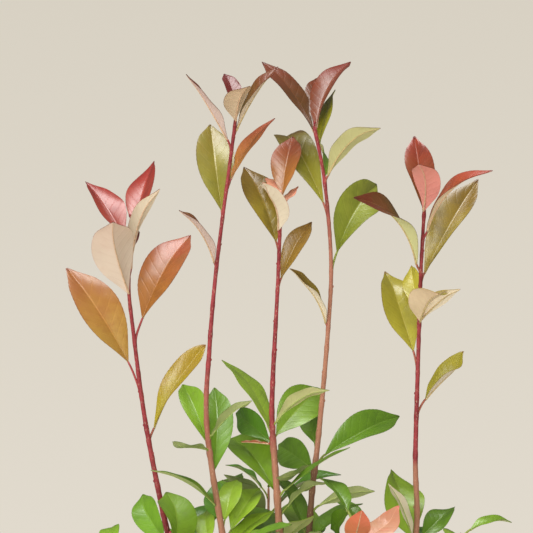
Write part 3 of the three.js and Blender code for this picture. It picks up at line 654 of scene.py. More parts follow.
class Graph:
    """A tree of shader nodes, made one call at a time. A tuple of three is an sRGB colour."""

    def __init__(self, owner, shader, output):
        owner.use_nodes = True
        self.owner, self.tree = owner, owner.node_tree
        self.tree.nodes.clear()
        self.shader = self.node(shader)
        self.link(self.shader.outputs[0], self.node(output).inputs["Surface"])

    def link(self, source, socket):
        self.tree.links.new(source, socket)

    def put(self, value, socket):
        if isinstance(value, bpy.types.NodeSocket):
            self.link(value, socket)
        elif isinstance(value, tuple) and len(value) == 3:
            socket.default_value = linear(value)
        else:
            socket.default_value = value

    def fill(self, made, values):
        """Gives a node its inputs in their order, and returns its first output."""
        for socket, value in zip(made.inputs, values):
            self.put(value, socket)
        return made.outputs[0]

    def node(self, kind, **settings):
        made = self.tree.nodes.new(kind)
        for key, value in settings.items():
            setattr(made, key, value)
        return made

    def math(self, operation, a, b=0.0, c=0.0, clamp=False):
        made = self.node("ShaderNodeMath", operation=operation, use_clamp=clamp)
        return self.fill(made, (a, b, c))

    def plus(self, a, b, clamp=False):
        return self.math("ADD", a, b, clamp=clamp)

    def minus(self, a, b):
        return self.math("SUBTRACT", a, b)

    def times(self, a, b):
        return self.math("MULTIPLY", a, b)

    def ramp(self, value, low, high, to_low=0.0, to_high=1.0, kind="SMOOTHSTEP"):
        made = self.node("ShaderNodeMapRange", interpolation_type=kind)
        return self.fill(made, (value, low, high, to_low, to_high))

    def mix(self, share, a, b):
        made = self.node("ShaderNodeMix", data_type="RGBA")
        for index, value in ((0, share), (6, a), (7, b)):
            self.put(value, made.inputs[index])
        return made.outputs[2]

    def over(self, colour, other, value, low, high, to_low=0.0, to_high=1.0):
        """A colour with another over it: the share follows value, from low to high."""
        return self.mix(self.ramp(value, low, high, to_low, to_high), colour, other)

    def brighter(self, colour, value):
        made = self.node("ShaderNodeHueSaturation")
        self.link(value, made.inputs["Value"])
        self.link(colour, made.inputs["Color"])
        return made.outputs[0]

    def texture(self, kind, vector, **numbers):
        made = self.node(kind)
        for key, number in numbers.items():
            made.inputs[key.title()].default_value = number
        self.link(vector or self.place(), made.inputs["Vector"])
        return made.outputs[0]

    def noise(self, scale, detail=2.0, roughness=0.5, vector=None):
        return self.texture("ShaderNodeTexNoise", vector, scale=scale, detail=detail,
                            roughness=roughness)

    def cells(self, scale, vector=None):
        return self.texture("ShaderNodeTexVoronoi", vector, scale=scale)

    def place(self):
        return self.node("ShaderNodeTexCoord").outputs["Object"]

    def stretched(self, x, y, z):
        return self.texture("ShaderNodeMapping", None, scale=(x, y, z))

    def attribute(self, name):
        return self.node("ShaderNodeAttribute", attribute_name=name).outputs["Fac"]

    def split(self, vector):
        made = self.node("ShaderNodeSeparateXYZ")
        self.link(vector, made.inputs[0])
        return made.outputs

    def leaf_place(self):
        """How far along its blade a point is, and how far from the midrib, both 0 to 1."""
        t, across, _ = self.split(self.node("ShaderNodeUVMap", uv_map="blade").outputs[0])
        return t, across

    def bump(self, height, distance, strength=1.0):
        made = self.node("ShaderNodeBump")
        made.inputs["Strength"].default_value = strength
        made.inputs["Distance"].default_value = distance
        self.link(height, made.inputs["Height"])
        self.link(made.outputs[0], self.shader.inputs["Normal"])

    def set(self, **values):
        for key, value in values.items():
            self.put(value, self.shader.inputs[key.replace("_", " ").title()])
        return self.owner


def new_material(name):
    return Graph(bpy.data.materials.new(name), "ShaderNodeBsdfPrincipled", "ShaderNodeOutputMaterial")


VEIN_PAIRS = 9
VEIN_SWEEP = 1.5  # how many vein steps a side vein climbs on its way to the margin
VEIN_BEND = 1.15  # over 1, so that it curves up towards the tip

# An upper face's colours: near its base, near its tip, its blotches, its veins and its margin.
TOPS = {
    "crimson": ((140, 58, 45), (138, 40, 32), (116, 34, 32), (196, 104, 90), (80, 24, 26)),
    "garnet": ((112, 42, 35), (100, 30, 29), (96, 30, 32), (190, 110, 104), (74, 22, 26)),
    "red": ((134, 75, 34), (146, 57, 38), (104, 40, 26), (184, 108, 76), (78, 24, 22)),
    "coral": ((186, 144, 114), (180, 122, 96), (190, 108, 82), (232, 180, 150), (190, 62, 50)),
    "salmon": ((246, 178, 148), (240, 152, 122), (230, 140, 110), (248, 200, 172), (196, 84, 66)),
    "russet": ((112, 54, 25), (112, 39, 24), (100, 50, 28), (180, 112, 84), (78, 28, 24)),
    "umber": ((90, 58, 22), (112, 52, 30), (76, 46, 18), (150, 92, 56), (62, 26, 20)),
    "bronze": ((102, 86, 28), (110, 52, 30), (98, 70, 28), (176, 136, 82), (84, 34, 26)),
    "copper": ((170, 110, 48), (164, 82, 52), (146, 90, 44), (210, 148, 96), (106, 36, 28)),
    "amber": ((174, 134, 60), (144, 88, 44), (148, 92, 40), (214, 156, 92), (104, 44, 28)),
    "ochre": ((168, 152, 36), (172, 144, 38), (158, 126, 40), (206, 184, 96), (140, 80, 40)),
    "khaki": ((156, 122, 44), (156, 116, 44), (128, 96, 36), (192, 156, 92), (92, 46, 28)),
    "moss": ((156, 138, 44), (126, 98, 32), (104, 86, 28), (184, 158, 88), (80, 40, 28)),
    "olive": ((132, 126, 42), (122, 108, 38), (112, 108, 32), (180, 164, 92), (86, 60, 30)),
    "singed": ((144, 142, 42), (86, 58, 28), (120, 112, 34), (184, 168, 96), (56, 34, 24)),
    "citron": ((176, 168, 52), (168, 158, 48), (150, 142, 42), (206, 190, 104), (134, 84, 44)),
    "verdant": ((164, 162, 44), (104, 108, 16), (100, 108, 26), (160, 160, 70), (66, 60, 22)),
    "grass": ((120, 131, 40), (138, 146, 52), (100, 108, 28), (160, 162, 80), (74, 80, 28)),
    "fresh": ((125, 164, 41), (115, 154, 36), (100, 132, 28), (156, 178, 78), (92, 106, 32)),
    "light": ((154, 190, 54), (142, 178, 47), (116, 146, 36), (184, 200, 100), (112, 126, 42)),
    "green": ((104, 146, 34), (96, 136, 30), (80, 118, 24), (136, 168, 70), (74, 92, 28)),
    "deep": ((88, 138, 31), (79, 128, 27), (70, 108, 20), (120, 152, 62), (58, 76, 22)),
}

# A lower face's colours: its own, near its tip, and its veins.
UNDERS = {
    "blush": ((240, 219, 201), (238, 209, 191), (214, 160, 140)),
    "tan": ((224, 200, 168), (218, 188, 156), (200, 150, 118)),
    "cream": ((241, 226, 202), (239, 222, 198), (206, 176, 126)),
    "rose": ((196, 174, 165), (192, 166, 158), (170, 110, 104)),
    "pink": ((240, 158, 146), (242, 160, 146), (212, 106, 96)),
    "coral_under": ((214, 122, 92), (206, 106, 80), (226, 150, 120)),
    "pale": ((210, 208, 150), (208, 204, 148), (216, 214, 160)),
    "sage": ((172, 182, 122), (172, 178, 124), (190, 198, 140)),
}

# The stalk and midrib that go with each upper face: a stalk's colour and a midrib's.
STALKS = {
    "young": ((170, 74, 74), (222, 186, 152)),
    "olive": ((172, 100, 82), (210, 186, 134)),
    "green": ((146, 160, 72), (176, 190, 112)),
}
YOUNG = ("crimson", "garnet", "red", "coral", "salmon", "russet", "umber", "copper", "amber")
MIDDLING = ("bronze", "ochre", "khaki", "moss", "olive", "citron", "singed")
STALK_DARKER = 0.72
SOILS = {  # dark, pale
    "soil": ((44, 32, 25), (86, 66, 50)),
    "crumb": ((58, 42, 32), (104, 78, 58)),
    "chip": ((92, 58, 38), (150, 106, 72)),
    "grit": ((186, 180, 168), (226, 222, 212)),
}
FLOOR_RADIUS = 1.4


def vein_lines(graph, t, across):
    """1 on a side vein and 0 between veins."""
    swept = graph.times(graph.math("POWER", across, VEIN_BEND), VEIN_SWEEP)
    step = graph.minus(graph.times(t, VEIN_PAIRS), swept)
    beside = graph.math("ABSOLUTE", graph.minus(graph.math("FRACT", step), 0.5))
    return graph.ramp(beside, 0.36, 0.5)


def shaded(graph, colour):
    """Each leaf a little lighter or darker than its neighbours."""
    return graph.brighter(colour, graph.ramp(graph.attribute("shade"), 0, 1, 0.86, 1.12))


def top_material(name):
    """A glossy upper face: side veins show mostly as shallow furrows, the midrib as a pale line."""
    base, tip, blotch, vein, edge = TOPS[name]
    graph = new_material(f"leaf_{name}")
    t, across = graph.leaf_place()
    drift = graph.plus(t, graph.times(graph.noise(45, 2), 0.5))
    colour = graph.over(base, tip, drift, 0.45, 1.15)
    colour = graph.over(colour, blotch, graph.noise(60, 3, 0.6), 0.46, 0.72, 0, 0.6)
    lines = vein_lines(graph, t, across)
    fading = graph.ramp(across, 0.4, 1.0, 0.05, 0.0)
    colour = graph.mix(graph.times(lines, fading), colour, vein)
    colour = graph.over(colour, vein, across, 0.0, 0.05, 0.38, 0)  # the midrib
    colour = graph.over(colour, edge, across, 0.955, 1.0, 0, 0.5)  # the margin
    colour = graph.over(colour, edge, t, 0.93, 1.0, 0, 0.75)  # the very tip
    gloss = graph.ramp(graph.noise(120, 3, 0.6), 0.3, 0.7, 0.3, 0.42)
    skin = graph.times(graph.noise(300, 2, 0.5), 0.08)
    graph.bump(graph.minus(skin, graph.times(lines, 0.2)), 0.0005)
    return graph.set(base_color=shaded(graph, colour), roughness=gloss, coat_weight=0.6,
                     coat_roughness=0.3)


def under_material(name):
    """A matt pale lower face with raised veins."""
    base, tip, vein = UNDERS[name]
    graph = new_material(f"under_{name}")
    t, across = graph.leaf_place()
    colour = graph.over(base, tip, t, 0.4, 1.0)
    lines = vein_lines(graph, t, across)
    fading = graph.ramp(across, 0.4, 1.0, 0.06, 0.0)
    colour = graph.mix(graph.times(lines, fading), colour, vein)
    colour = graph.over(colour, vein, across, 0.0, 0.06, 0.15, 0)  # the midrib
    colour = graph.over(colour, vein, graph.noise(90, 3, 0.6), 0.45, 0.75, 0, 0.1)  # faint blotches
    colour = graph.over(colour, vein, across, 0.95, 1.0, 0, 0.25)  # the margin
    graph.bump(graph.times(lines, 0.2), 0.0004)
    rough = graph.ramp(graph.noise(300, 2), 0.3, 0.7, 0.5, 0.62)
    return graph.set(base_color=shaded(graph, colour), roughness=rough)


def stalk_material(name, part):
    graph = new_material(f"{part}_{name}")
    colour = linear(STALKS[name][0 if part == "stalk" else 1])
    dark = tuple(STALK_DARKER * c for c in colour[:3]) + (1.0,)
    mixed = graph.over(colour, dark, graph.noise(400, 2), 0.4, 0.7)
    rough = graph.ramp(graph.noise(700, 2), 0.3, 0.7, 0.38, 0.55)
    return graph.set(base_color=mixed, roughness=rough)


def stem_material():
    """Red on new growth, then tan, then grey-brown bark, with pale pores along it."""
    graph = new_material("stem")
    patchy = graph.times(graph.minus(graph.noise(60, 3), 0.5), 0.5)
    age = graph.plus(graph.attribute("age"), patchy)
    colour = graph.over((160, 64, 68), (134, 48, 54), graph.noise(140, 2), 0.35, 0.7)
    colour = graph.over(colour, (176, 122, 98), age, 0.35, 1.0)
    colour = graph.over(colour, (118, 88, 68), age, 1.1, 1.9)
    pores = graph.ramp(graph.cells(1.0, graph.stretched(700, 700, 230)), 0.12, 0.3, 0.5, 0)
    colour = graph.mix(pores, colour, (214, 176, 150))
    long_grain = graph.noise(1.0, 4, 0.6, graph.stretched(900, 900, 90))
    colour = graph.over(colour, (96, 46, 42), long_grain, 0.5, 0.75, 0, 0.4)
    graph.bump(graph.plus(graph.times(long_grain, 0.6), pores), 0.0004, 0.7)
    return graph.set(base_color=colour, roughness=graph.ramp(age, 0, 1.6, 0.42, 0.8))


def bark_material():
    graph = new_material("bark")
    grain = graph.noise(1.0, 6, 0.65, graph.stretched(230, 230, 50))
    colour = graph.over((78, 58, 45), (146, 120, 96), grain, 0.35, 0.65)
    colour = graph.over(colour, (156, 154, 128), graph.noise(70, 3, 0.6), 0.6, 0.75, 0, 0.4)  # lichen
    graph.bump(grain, 0.0016)
    return graph.set(base_color=colour, roughness=graph.ramp(grain, 0.3, 0.7, 0.95, 0.78))


def clay_material():
    """Fired clay: uneven red-orange, a pale mineral bloom low down and at the rim, fine pits."""
    graph = new_material("clay")
    colour = graph.over((178, 100, 66), (198, 124, 86), graph.noise(9, 4, 0.55), 0.35, 0.65)
    rings = graph.noise(1.0, 3, 0.6, graph.stretched(6, 6, 260))
    colour = graph.over(colour, (160, 86, 56), rings, 0.5, 0.72, 0, 0.3)
    height = graph.split(graph.place())[2]
    low = graph.ramp(height, 0.0, 0.05, 1, 0)
    rim = graph.ramp(height, 0.176, 0.19, 0, 0.8)
    patches = graph.ramp(graph.noise(28, 5, 0.65), 0.46, 0.66)
    bloom = graph.times(graph.plus(low, rim, clamp=True), patches)
    colour = graph.mix(graph.times(bloom, 0.62), colour, (222, 200, 180))
    pits = graph.ramp(graph.cells(420), 0.1, 0.22, 0.45, 0)
    colour = graph.mix(pits, colour, (120, 66, 46))
    grit = graph.noise(650, 4, 0.6)
    marks = graph.plus(graph.times(rings, 0.5), pits)
    graph.bump(graph.plus(graph.times(grit, 0.5), marks), 0.0005, 0.8)
    return graph.set(base_color=colour, roughness=graph.ramp(grit, 0.3, 0.7, 0.78, 0.95))


def soil_material(name):
    graph = new_material(name)
    lumps = graph.noise(260, 5, 0.7)
    colour = graph.over(*SOILS[name], lumps, 0.38, 0.66)
    colour = graph.over(colour, (136, 110, 84), graph.noise(1400, 2, 0.6), 0.55, 0.72, 0, 0.5)
    graph.bump(lumps, 0.0018)
    return graph.set(base_color=colour, roughness=graph.ramp(lumps, 0.3, 0.7, 0.98, 0.85))


def floor_material():
    """A pale floor that looks as bright as the wall: darker towards the lights, paler at its edge."""
    graph = new_material("floor")
    tone = graph.noise(3, 3)
    x, y, _ = graph.split(graph.place())
    lit = graph.math("MULTIPLY_ADD", x, -0.6, graph.times(y, -0.8))
    colour = graph.over((232, 228, 220), (192, 188, 180), lit, -1.1, FLOOR_RADIUS)
    colour = graph.over(colour, (180, 174, 164), tone, 0.3, 0.7, 0, 0.1)
    reach = graph.math("SQRT", graph.math("MULTIPLY_ADD", x, x, graph.times(y, y)))
    colour = graph.brighter(colour, graph.ramp(reach, 0.4, FLOOR_RADIUS, 0.97, 1.1))
    return graph.set(base_color=colour, roughness=graph.ramp(tone, 0.3, 0.7, 0.7, 0.85))


MAKERS = {
    "top": top_material, "under": under_material, "stem": stem_material, "bark": bark_material,
    "clay": clay_material, "soil": soil_material,
    "stalk": lambda name: stalk_material(name, "stalk"),
    "rib": lambda name: stalk_material(name, "rib"),
}
materials = {}


def material(name):
    """Makes each material, named kind or kind:colour, the first time that it is asked for."""
    if name not in materials:
        kind, *rest = name.split(":")
        materials[name] = MAKERS[kind](*rest)
    return materials[name]


# ---- Meshes from arrays ----


def add_object(name, data):
    made = bpy.data.objects.new(name, data)
    bpy.context.scene.collection.objects.link(made)
    return made


class Shell:
    """Closed shapes gathered into one joined mesh."""

    def __init__(self, name):
        self.name = name
        self.points, self.loops, self.sizes, self.looks = [], [], [], []
        self.blade, self.bake, self.values, self.sharp = [], [], [], []
        self.names = []
        self.count = 0

    def look(self, name):
        if name not in self.names:
            self.names.append(name)
        return self.names.index(name)

    def add_points(self, points, value=0.0):
        points = np.asarray(points, float).reshape(-1, 3)
        start = self.count
        self.points.append(points)
        self.values.append(np.broadcast_to(np.asarray(value, float), (len(points),)))
        self.count += len(points)
        return start

    def add_faces(self, faces, look, blade=None, bake=None, sharp=()):
        """faces is an array of one polygon a row, and blade and bake give each corner's place.
        sharp lists the sides of each polygon that aren't shaded smoothly."""
        faces = np.asarray(faces, int)
        creased = np.zeros(faces.shape, bool)
        creased[:, list(sharp)] = True
        self.sharp.append(creased.ravel())
        self.loops.append(faces.ravel())
        self.sizes.append(np.full(len(faces), faces.shape[1]))
        self.looks.append(np.full(len(faces), self.look(look)))
        empty = np.zeros((faces.size, 2))
        self.blade.append(empty if blade is None else blade.reshape(-1, 2))
        self.bake.append(empty if bake is None else bake.reshape(-1, 2))

    def build(self, slot, value_name=None, blade=False, bake=False, smooth_faces=True):
        mesh = bpy.data.meshes.new(self.name)
        points = np.concatenate(self.points) * MM
        loops, sizes = np.concatenate(self.loops), np.concatenate(self.sizes)
        mesh.vertices.add(len(points))
        mesh.vertices.foreach_set("co", points.ravel())
        mesh.loops.add(len(loops))
        mesh.loops.foreach_set("vertex_index", loops)
        mesh.polygons.add(len(sizes))
        mesh.polygons.foreach_set("loop_start", np.concatenate([[0], np.cumsum(sizes)[:-1]]))
        for name in self.names:
            mesh.materials.append(material(name))
        mesh.polygons.foreach_set("material_index", np.concatenate(self.looks))
        mesh.polygons.foreach_set("use_smooth", np.full(len(sizes), smooth_faces))
        for wanted, name, corners in ((bake, "OFBake", self.bake), (blade, "blade", self.blade)):
            if wanted:
                layer = mesh.uv_layers.new(name=name)
                layer.uv.foreach_set("vector", np.concatenate(corners).ravel())
        if value_name:
            layer = mesh.attributes.new(value_name, "FLOAT", "POINT")
            layer.data.foreach_set("value", np.concatenate(self.values))
        mesh.update(calc_edges=True)
        edges = np.zeros(len(loops), int)
        mesh.loops.foreach_get("edge_index", edges)
        creased = np.zeros(len(mesh.edges), bool)
        creased[edges[np.concatenate(self.sharp)]] = True
        mesh.attributes.new("sharp_edge", "BOOLEAN", "EDGE").data.foreach_set("value", creased)
        mesh.validate()
        piece = add_object(self.name, mesh)
        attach(piece, "root")
        return piece


def grid_faces(rows, columns, start, flip=False, wrap=False):
    """Four-sided faces over a grid of points, with the columns closed into a ring if wrap."""
    r, c = np.meshgrid(np.arange(rows - 1), np.arange(columns - (0 if wrap else 1)), indexing="ij")
    r, c = r.ravel(), c.ravel()
    following = (c + 1) % columns
    corners = [r * columns + c, r * columns + following,
               (r + 1) * columns + following, (r + 1) * columns + c]
    faces = np.stack(corners, axis=1) + start
    return faces[:, ::-1] if flip else faces


def grid_corners(faces, values, start):
    """The value of each point at every corner of the faces."""
    return values.reshape(-1, values.shape[-1])[faces - start]


def tube_rings(centres, radii, sides, reference=(0.0, 1.0, 0.0)):
    """Rings of points around a line, and the directions out of it."""
    tangents = unit(np.gradient(centres, axis=0))
    across = unit(np.cross(np.broadcast_to(reference, tangents.shape), tangents))
    other = np.cross(tangents, across)
    turns = 2 * np.pi * np.arange(sides) / sides
    outward = (across[:, None] * np.cos(turns)[None, :, None]
               + other[:, None] * np.sin(turns)[None, :, None])
    radii = np.asarray(radii, float)
    radii = radii[:, None] if radii.ndim == 1 else radii
    return centres[:, None] + outward * radii[..., None], outward


def add_tube(shell, rings, look, value=0.0, cell=None):
    """A closed tube. cell is its place on the bake's map: left, low, wide, high."""
    rows, sides = rings.shape[:2]
    value = np.broadcast_to(np.asarray(value, float).reshape(-1, 1), (rows, sides)).ravel()
    start = shell.add_points(rings, value)
    faces = grid_faces(rows, sides, start, wrap=True)
    bake = None
    if cell is not None:
        left, low, wide, high = cell
        column = (faces - start) % sides
        column[:, 1:3] = column[:, :1] + 1
        row = (faces - start) // sides
        bake = np.stack([left + wide * column / sides, low + high * row / (rows - 1)], axis=-1)
    shell.add_faces(faces, look, bake=bake)
    for ring, flip in ((0, True), (rows - 1, False)):
        order = start + ring * sides + np.arange(sides)
        shell.add_faces((order[::-1] if flip else order)[None], look)


# ---- Leaf meshes ----

DETAIL = {
    "shoot": SimpleNamespace(stations=52, columns=(0, 0.08, 0.24, 0.44, 0.64, 0.82, 0.95, 1),
                             teeth=0.22, quilt=0.24, rib_rings=18, stalk_rings=8, rib_sides=8),
    "bush": SimpleNamespace(stations=22, columns=(0, 0.12, 0.45, 0.78, 1),
                            teeth=0.0, quilt=0.12, rib_rings=8, stalk_rings=5, rib_sides=5),
}
THICKNESS = (0.5, 0.28)  # middle, margin
BLADE = SimpleNamespace(
    least=0.35,  # half its width at its very base and tip
    teeth_from=(0.12, 0.25), teeth_to=(0.88, 0.96),
    waves=(1.4, 2.6), wave_from=(0, 0.3), wave_to=(0.7, 0.95), wave_lag=1.9,  # of one margin
    quilt_from=(0.03, 0.15), hook_from=0.55,
    opening=(1.1, 0.75),  # of its fold, at its base and its tip
)
STALK = SimpleNamespace(
    radius=(1.05, 0.85), foot=0.55, foot_reach=0.25, rib=(0.85, 0.22), rib_thinning=0.8,
    rib_sunk=0.55, bush_size=0.82,
)
# Parts of one leaf's square on the bake's map: left edge and width, then low edge and height.
LEAF_CELL = SimpleNamespace(
    top=(0.01, 0.44), under=(0.46, 0.44), rim=(0.905, 0.03), stalk=(0.955, 0.035),
    up=(0.02, 0.96), stalk_up=(0.02, 0.3), rib_up=(0.34, 0.64),
)


def blade_stations(count):
    """Stations along a blade, closer near its two ends."""
    even = np.linspace(0, 1, count)
    return lerp(even, (1 - np.cos(np.pi * even)) / 2, 0.35)


def bush_shape(leaf, random):
    """The small differences between one bush leaf and the next."""
    return SimpleNamespace(
        fold=leaf.fold + between((2, 16), random), curl=leaf.curl, twist=spread(24, random), start=0.1,
        hook=between((-0.03, 0.12), random), sway=spread(0.035, random), cup=between((0.2, 0.5), random),
        belly=between((1.0, 1.2), random), apex=between((0.15, 0.5), random),
        foot=between((0.6, 0.95), random), wave=between((0.4, 1.3), random),
    )


def drawn_outline(t, shape):
    """A blade's half width: belly moves its widest place, apex draws in its tip, foot its base."""
    full = np.maximum(np.sin(np.pi * t**shape.belly), 0) ** 0.8
    return full * (1 - shape.apex * smooth(0.78, 0.97, t)) * lerp(shape.foot, 1, smooth(0, 0.3, t))


def blade_sheet(leaf, detail, random):
    """The middle sheet of a blade and the way out of its upper face, as grids of points."""
    shape = leaf if leaf.kind == "shoot" else bush_shape(leaf, random)
    along, side, face = leaf_axes(leaf)
    bend, fold = math.radians(shape.curl), math.radians(shape.fold)
    t = blade_stations(detail.stations)
    v = np.concatenate([-np.array(detail.columns[:0:-1]), detail.columns])
    t, v = np.meshgrid(t, v, indexing="ij")
    size = np.abs(v)
    half = (leaf.width / 2) * drawn_outline(t, shape) + BLADE.least
    tooth = np.where(np.arange(len(t)) % 2 == 0, 0.5, -0.5)[:, None] * detail.teeth
    toothed = smooth(*BLADE.teeth_from, t) * (1 - smooth(*BLADE.teeth_to, t)) * (size > 0.97)
    reach = (half + tooth * toothed) * v
    turn = math.radians(shape.twist) * smooth(shape.start, 1, t)
    waves, phase = between(BLADE.waves, random), random() * 2 * np.pi
    fade = smooth(*BLADE.wave_from, t) * (1 - 0.8 * smooth(*BLADE.wave_to, t))
    wave = np.sin(2 * np.pi * waves * t + phase + (v > 0) * BLADE.wave_lag)
    ripple = shape.wave * size**2 * fade * wave
    swept = t * VEIN_PAIRS - size**VEIN_BEND * VEIN_SWEEP
    pillow = (0.5 - 0.5 * np.cos(2 * np.pi * swept)) * np.sin(np.pi * np.clip(size, 0, 1)) ** 0.7
    lift = (np.abs(reach) * math.sin(fold) * (1 - shape.cup * size) * lerp(*BLADE.opening, t)
            + ripple + detail.quilt * pillow * smooth(*BLADE.quilt_from, t))
    slope = (bend / 2) * (1 - 2 * t)
    upper = face * np.cos(slope)[..., None] - along * np.sin(slope)[..., None]
    cos, sin = np.cos(turn)[..., None], np.sin(turn)[..., None]
    turned_side, turned_up = side * cos + upper * sin, upper * cos - side * sin
    drop = leaf.length * shape.hook * smooth(BLADE.hook_from, 1, t) ** 2
    sway = leaf.length * shape.sway * np.sin(np.pi * t)
    centre = (leaf.base + along * (leaf.length * t)[..., None]
              + face * (bend * leaf.length * t * (1 - t) / 2 - drop)[..., None]
              + side * sway[..., None])
    sheet = centre + turned_side * (reach * math.cos(fold))[..., None] + turned_up * lift[..., None]
    down_t, down_v = np.gradient(sheet, axis=0), np.gradient(sheet, axis=1)
    return t, v, sheet, unit(np.cross(down_v, down_t))


def add_blade(shell, leaf, detail, cell, shade, random):
    """A blade: its two faces, a little apart, and the rim that joins them."""
    left, low, wide = cell
    first, share = LEAF_CELL.up
    t, v, sheet, out = blade_sheet(leaf, detail, random)
    rows, columns = t.shape
    thick = lerp(*THICKNESS, np.abs(v))[..., None] / 2
    place = np.stack([t, np.abs(v)], axis=-1)
    starts = []
    for sign, (aside, width), look in (
        (1, LEAF_CELL.top, f"top:{leaf.tint}"), (-1, LEAF_CELL.under, f"under:{leaf.under}"),
    ):
        start = shell.add_points(sheet + out * thick * sign, shade)
        starts.append(start)
        faces = grid_faces(rows, columns, start, flip=sign < 0)
        spot = np.stack([left + wide * (aside + width * (v + 1) / 2),
                         low + wide * (first + share * t)], axis=-1)
        shell.add_faces(faces, look, grid_corners(faces, place, start),
                        grid_corners(faces, spot, start))
    top, under = starts
    index = np.arange(rows * columns).reshape(rows, columns)
    border = np.concatenate([index[0, :], index[1:, -1], index[-1, -2::-1], index[-2:0:-1, 0]])
    after = np.roll(border, -1)
    rim = np.stack([top + border, under + border, under + after, top + after], axis=1)
    ends = np.array([[0.96, 1.0]] * 4)[None].repeat(len(rim), axis=0)
    ends[..., 0] = t.ravel()[border][:, None]
    step = np.arange(len(rim)) / len(rim)
    aside, width = LEAF_CELL.rim
    across = left + wide * np.array([0, width, width, 0]) + wide * aside
    up = low + wide * (first + share * (step[:, None] + np.array([0, 0, 1, 1]) / len(rim)))
    spots = np.stack([np.broadcast_to(across, up.shape), up], axis=-1)
    shell.add_faces(rim, f"top:{leaf.tint}", ends, spots, sharp=(1, 3))
    return sheet[:, columns // 2], out[:, columns // 2]


def add_stalk(shell, leaf, detail, cell, middle, out, shade):
    """The stalk, and the midrib that it runs on into, along the underside."""
    left, low, wide = cell
    family = "young" if leaf.tint in YOUNG else "olive" if leaf.tint in MIDDLING else "green"
    size = 1.0 if leaf.kind == "shoot" else STALK.bush_size
    away = unit(leaf.base - leaf.root)
    start = leaf.root + away * leaf.stem_radius * 0.5
    share = np.linspace(0, 1, detail.stalk_rings)[:, None]
    run = np.linalg.norm(leaf.base - start)
    leave = unit(away + leaf.stem_tangent * 0.5) * run
    arrive = unit(middle[2] - middle[0]) * run
    path = ((2 * share**3 - 3 * share**2 + 1) * start + (share**3 - 2 * share**2 + share) * leave
            + (3 * share**2 - 2 * share**3) * leaf.base + (share**3 - share**2) * arrive)
    foot = STALK.foot * (1 - smooth(0, STALK.foot_reach, share[:, 0]))
    radii = size * lerp(*STALK.radius, share[:, 0]) * (1 + foot)
    picked = np.linspace(0, len(middle) - 2, detail.rib_rings).astype(int)
    rib_radii = size * lerp(*STALK.rib, np.linspace(0, 1, len(picked)) ** STALK.rib_thinning)
    rib = middle[picked] - out[picked] * (rib_radii * STALK.rib_sunk)[:, None]
    strip, width = LEAF_CELL.stalk
    _, side, _ = leaf_axes(leaf)
    for points, ring_radii, part, span in ((path, radii, "stalk", LEAF_CELL.stalk_up),
                                           (rib, rib_radii, "rib", LEAF_CELL.rib_up)):
        rings, _ = tube_rings(points, ring_radii, detail.rib_sides, side)
        where = (left + wide * strip, low + wide * span[0], wide * width, wide * span[1])
        add_tube(shell, rings, f"{part}:{family}", shade, where)


def leaf_piece(name, leaves, seed, slot, *nodes):
    """All the leaves of one mass, with their stalks, as one piece."""
    shell = Shell(name)
    random = seeded_random(seed)
    per_row = math.ceil(math.sqrt(len(leaves)))
    for i, leaf in enumerate(leaves):
        detail = DETAIL[leaf.kind]
        cell = ((i % per_row) / per_row, (i // per_row) / per_row, 1 / per_row)
        shade = random()
        middle, out = add_blade(shell, leaf, detail, cell, shade, random)
        add_stalk(shell, leaf, detail, cell, middle, out, shade)
    piece = shell.build(slot, "shade", blade=True, bake=True)
    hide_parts(*nodes)


GREENS = [("green", 0.36), ("fresh", 0.62), ("deep", 0.82), ("light", 1.0)]  # each up to a share
LIKE_ITS_SPRAY = 0.65  # the chance that a leaf has its spray's own green


def deal_tints(mass, seed):
    """Each spray of bush leaves gets one green, now and then another within it."""
    random = seeded_random(seed)
    sprays = {}
    for leaf in mass.leaves:
        if leaf.kind != "bush":
            continue
        draw = random()
        if leaf.spray not in sprays:
            sprays[leaf.spray] = random()
        pick = sprays[leaf.spray] if draw < LIKE_ITS_SPRAY else random()
        leaf.tint = next(name for name, upto in GREENS if pick <= upto)
        leaf.under = "pale" if leaf.tint == "light" else "sage"


for limb in LIMBS:
    for part, mass in limb.masses.items():
        deal_tints(mass, limb.seed + 900)
        leaf_piece(f"{limb.name}_{part}_leaves", mass.leaves, limb.seed + 300,
                   "green_leaf" if part == "low" else "young_leaf", mass.name)

# ---- Wood meshes ----

LIMB_WOOD = SimpleNamespace(
    step=2.0, sides=14, flare=0.7, flare_start=6, flare_reach=10, swell=0.13, swell_reach=2.6,
    tip=0.25, tip_reach=5, grain=0.1, grain_scale=0.22,
)
TWIG_WOOD = SimpleNamespace(
    rings=18, sides=8, flare=0.7, flare_start=3, flare_reach=4, swell=0.2, swell_reach=2.5,
    tip=0.4, ages=(1.3, 0.7),
)
SCARS = SimpleNamespace(first=30, step=23.0, before_tip=12, apart=9)  # where leaves have fallen
BUD = SimpleNamespace(rings=7, sides=8, slender=3.2, above_node=2.5, tip_radius=0.4, tip_size=1.1)
BUD_CELLS = SimpleNamespace(left=0.68, low=0.02, wide=0.015, high=0.03, per_row=20)


def stem_age(limb, heights):
    known = np.array(limb.ages, float)
    return np.interp(heights, known[:, 0], known[:, 1])


def limb_nodes(limb):
    """Lengths along a limb where it bears leaves, or bore them."""
    leafy = [at_height(limb.stem, leaf[0]).length for leaf in limb.leaves]
    scars = np.arange(SCARS.first, limb.stem.total - SCARS.before_tip, SCARS.step)
    return sorted(leafy + [s for s in scars if all(abs(s - node) > SCARS.apart for node in leafy)])


def centre_line(stem, lengths):
    return np.stack([np.interp(lengths, stem.lengths, stem.points[:, k]) for k in range(3)], 1)


